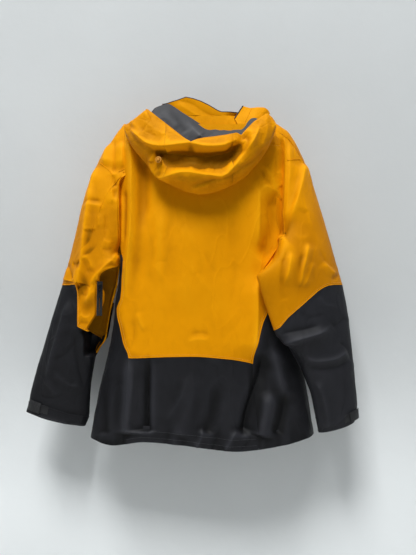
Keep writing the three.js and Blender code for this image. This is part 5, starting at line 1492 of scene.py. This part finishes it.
k5 = max(1, int(round(5.0 / (abs(bg[60, -1, 2] - bg[60, 0, 2]) / nvb))))
ob = stitches("back_topstitch", [lifted(row(bg, -1 - k5, 3, -3), (0, 1, 0), 0.1), lifted(bg[-4, :-k5][bg[-4, :-k5, 2] < -372], (0, 1, 0), 0.1), lifted(bg[3, :-k5][bg[3, :-k5, 2] < -425], (0, 1, 0), 0.1), lifted(row(bg, 2, 2, -2), (0, 1, 0), 0.1)], THREAD)
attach(ob, "shell")
hg = backh_grid
kh = 6
ob = stitches("hem_topstitch", [lifted(row(hg, -1 - kh, 2, -2), (0, 1, 0), 0.1), lifted(row(hg, -3 - 2 * kh, 2, -2), (0, 1, 0), 0.1)], BTHREAD, r=0.36)
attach(ob, "shell")
yk = yoke_grid
ob = welt("yoke_seam_welt", row(yk, -1, 2, -2), 0.8, AMBER, 0.2)
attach(ob, "shell")

for side in ("left", "right"):
    F, up, lo_, cu, vb, vc, first, upg, log, cug = arm_parts[side]
    s = 1 if side == "left" else -1
    edge = upg[:, -1]
    if side == "right":
        edge = np.concatenate([edge, edge[:1]])
    ob = tube_along(side + "_sleeve_seam_welt", smooth_path(resample(edge, 2.2), 1), 0.95, AMBER, 7)
    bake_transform(ob)
    paths = [lifted(upg[:, -4], (0, 0.6, 0), 0.6)]
    if side == "left":
        face = upg[..., 1] > 22
        for pts in ([(98.8, 163.2), (104, 166.6), (109, 171), (112.6, 176)], [(118.6, 172.5), (124, 170), (132, 166)]):
            L_ = on_grid(upg, pts, 26, face)
            ob = welt("left_cap_seam_%d" % int(pts[0][0]), L_, 0.9, AMBER, 0.6)
            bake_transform(ob)
    else:
        face = upg[..., 1] > 22
        L_ = on_grid(upg, [(287, 161), (295, 160.2), (303.5, 160)], 22, face)
        ob = welt("right_cap_seam", L_, 0.9, AMBER, 0.6)
        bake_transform(ob)
    ob = stitches(side + "_sleeve_topstitch", paths, THREAD, r=0.38)
    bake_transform(ob)
    cuff_edge = cug[:, 0]
    ob = tube_along(side + "_cuff_seam_welt", smooth_path(resample(np.concatenate([cuff_edge, cuff_edge[:1]]), 2.2), 1), 0.8, BLACK, 7)
    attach(ob, side + "_forearm")
    ob = stitches(side + "_cuff_topstitch", [lifted(cug[:, -7], (0, 0.8, 0), 0.5)], BTHREAD, r=0.36)
    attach(ob, side + "_forearm")

# ------------------------------------------------------------------ zips and hardware: refined copies of the small solids
def refined(node, material, body, bevel=0.0003, name=None, shift=(0, 0, 0)):
    src = frame["nodes"][node]
    me = src.data.copy()
    me.materials.clear()
    me.materials.append(material)
    ob = bpy.data.objects.new(name or node + "_fine", me)
    scene.collection.objects.link(ob)
    me.polygons.foreach_set("use_smooth", [True] * len(me.polygons))
    w = ob.modifiers.new("weld", "WELD")
    w.merge_threshold = 0.00001
    d = ob.modifiers.new("flat", "DECIMATE")
    d.decimate_type = "DISSOLVE"
    d.angle_limit = math.radians(1)
    b = ob.modifiers.new("bevel", "BEVEL")
    b.width = bevel
    b.segments = 2
    b.limit_method = "ANGLE"
    b.harden_normals = False
    bpy.context.view_layer.update()
    dg = bpy.context.evaluated_depsgraph_get()
    made = bpy.data.meshes.new_from_object(ob.evaluated_get(dg))
    made.transform(Matrix.Translation(Vector(shift)))
    ob.modifiers.clear()
    ob.data = made
    made.set_sharp_from_angle(angle=math.radians(40))
    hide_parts(node)
    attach(ob, body)
    return ob


zips = ["main_zip", "left_pocket_zip", "right_pocket_zip", "chest_pocket_zip", "left_pit_zip", "right_pit_zip"]
for zname in zips:
    refined(zname + "_slider", METAL, zname + "_slider")
    refined(zname + "_pull", METAL, zname + "_pull", 0.00025)
for side in ("left", "right"):
    refined(side + "_hem_cord_lock", PLASTIC, "shell", 0.0005)
    refined(side + "_hem_lock_button", PLASTIC, side + "_hem_lock_button", 0.0006)
    refined(side + "_cuff_tab", RUBBER, side + "_cuff_tab", 0.0006)
    refined(side + "_cuff_patch", TAPE, side + "_forearm", 0.0002)
refined("hood_cord_lock", APLAST, "hood", 0.0006)
refined("hood_lock_button", APLAST, "hood_lock_button", 0.0006)
for node, mat in (("main_zip_left", TAPE), ("main_zip_right", TAPE), ("left_pocket_zip", TAPE), ("right_pocket_zip", TAPE), ("chest_pocket_zip", TAPE), ("storm_flap", BLACK), ("hang_loop", TAPE), ("hem_drawcord", TAPE), ("hem_facing", BLACK), ("left_pocket_bag", BLACK), ("right_pocket_bag", BLACK), ("chest_pocket_bag", BLACK)):
    refined(node, mat, "shell", 0.0001)
for side in ("left", "right"):
    refined(side + "_pit_zip", TAPE, side + "_arm", 0.0001)
refined("hood_brim", BLACK, "hood", 0.0002, shift=(0, -0.010, 0))

# ------------------------------------------------------------------ surroundings
def plain(name, color, rough=0.9):
    m, nt, b = nodes_of(name)
    tc = nt.nodes.new("ShaderNodeTexCoord")
    n = nt.nodes.new("ShaderNodeTexNoise")
    n.inputs["Scale"].default_value = 3
    n.inputs["Detail"].default_value = 6
    nt.links.new(tc.outputs["Object"], n.inputs["Vector"])
    c = np.array(color)
    nt.links.new(ramp(nt, n.outputs[0], [(0.3, tuple(c * 0.97)), (0.7, tuple(c * 1.02))]), b.inputs["Base Color"])
    b.inputs["Roughness"].default_value = rough
    b.inputs["Specular IOR Level"].default_value = 0.2
    bu = nt.nodes.new("ShaderNodeBump")
    bu.inputs["Strength"].default_value = 0.2
    bu.inputs["Distance"].default_value = 0.002
    n2 = nt.nodes.new("ShaderNodeTexNoise")
    n2.inputs["Scale"].default_value = 40
    n2.inputs["Detail"].default_value = 6
    nt.links.new(tc.outputs["Object"], n2.inputs["Vector"])
    nt.links.new(n2.outputs[0], bu.inputs["Height"])
    nt.links.new(bu.outputs[0], b.inputs["Normal"])
    return m


WALL = plain("wall_paint", (0.56, 0.58, 0.58))


def one_sided(m):
    nt = m.node_tree
    out = [n for n in nt.nodes if n.type == "OUTPUT_MATERIAL"][0]
    shaded = out.inputs["Surface"].links[0].from_socket
    geo = nt.nodes.new("ShaderNodeNewGeometry")
    clear = nt.nodes.new("ShaderNodeBsdfTransparent")
    mix = nt.nodes.new("ShaderNodeMixShader")
    nt.links.new(geo.outputs["Backfacing"], mix.inputs[0])
    nt.links.new(shaded, mix.inputs[1])
    nt.links.new(clear.outputs[0], mix.inputs[2])
    nt.links.new(mix.outputs[0], out.inputs["Surface"])


one_sided(WALL)


def painted_light_below(m, top, bottom, gain):
    nt = m.node_tree
    b = [n for n in nt.nodes if n.type == "BSDF_PRINCIPLED"][0]
    paint = b.inputs["Base Color"].links[0].from_socket
    tc = nt.nodes.new("ShaderNodeTexCoord")
    xyz = nt.nodes.new("ShaderNodeSeparateXYZ")
    span = nt.nodes.new("ShaderNodeMapRange")
    span.interpolation_type = "SMOOTHSTEP"
    span.inputs["From Min"].default_value = top
    span.inputs["From Max"].default_value = bottom
    span.inputs["To Min"].default_value = 1.0
    span.inputs["To Max"].default_value = gain
    mul = nt.nodes.new("ShaderNodeVectorMath")
    mul.operation = "SCALE"
    nt.links.new(tc.outputs["Object"], xyz.inputs[0])
    nt.links.new(xyz.outputs["Z"], span.inputs["Value"])
    nt.links.new(paint, mul.inputs[0])
    nt.links.new(span.outputs["Result"], mul.inputs["Scale"])
    nt.links.new(mul.outputs["Vector"], b.inputs["Base Color"])


# painted light: the wall's colour is made up to 1.5 times paler towards the floor, to make up for the lamps lighting it
# less there
painted_light_below(WALL, -0.45, -1.1, 1.5)
FLOOR = plain("floor_paint", (0.66, 0.66, 0.65))


def slab(name, lo, hi, material):
    x0, y0, z0 = lo
    x1, y1, z1 = hi
    V = [(x0, y0, z0), (x1, y0, z0), (x1, y1, z0), (x0, y1, z0), (x0, y0, z1), (x1, y0, z1), (x1, y1, z1), (x0, y1, z1)]
    Fc = [(0, 3, 2, 1), (4, 5, 6, 7), (0, 1, 5, 4), (1, 2, 6, 5), (2, 3, 7, 6), (3, 0, 4, 7)]
    me = bpy.data.meshes.new(name)
    me.from_pydata(V, [], Fc)
    me.materials.append(material)
    ob = bpy.data.objects.new(name, me)
    scene.collection.objects.link(ob)
    return ob


slab("floor", (-4, -4, -1.52), (4, 4, -1.50), FLOOR)
# one-sided wall: seen from the back of the jacket, and open to a camera behind it
me = bpy.data.meshes.new("wall")
me.from_pydata([(-4, -0.125, -1.5), (4, -0.125, -1.5), (4, -0.125, 3), (-4, -0.125, 3)], [], [(0, 3, 2, 1)])
me.materials.append(WALL)
wall = bpy.data.objects.new("wall", me)
scene.collection.objects.link(wall)

world = bpy.data.worlds.new("world")
scene.world = world
world.use_nodes = True
world.node_tree.nodes["Background"].inputs[0].default_value = (0.86, 0.93, 1.0, 1)
world.node_tree.nodes["Background"].inputs[1].default_value = 0.15


def area(name, loc, target, size, power, color=(1, 1, 1)):
    l = bpy.data.lights.new(name, "AREA")
    l.shape = "RECTANGLE"
    l.size, l.size_y = size
    l.energy = power
    l.color = color
    o = bpy.data.objects.new(name, l)
    scene.collection.objects.link(o)
    o.location = loc
    o.rotation_euler = (Vector(target) - Vector(loc)).to_track_quat("-Z", "Y").to_euler()
    return o


area("key", (0.9, 3.7, 4.9), (0, 0, -0.5), (2.2, 2.2), 470, (0.98, 0.99, 1.0))
area("top", (0.1, 1.1, 4.0), (0, 0, -0.5), (2.4, 1.4), 45, (0.97, 0.99, 1.0))
area("front", (-1.2, -3.2, 1.4), (0, 0, -0.45), (2.0, 2.0), 380, (0.98, 0.99, 1.0))

scene.view_settings.view_transform = "Standard"
scene.view_settings.look = "None"
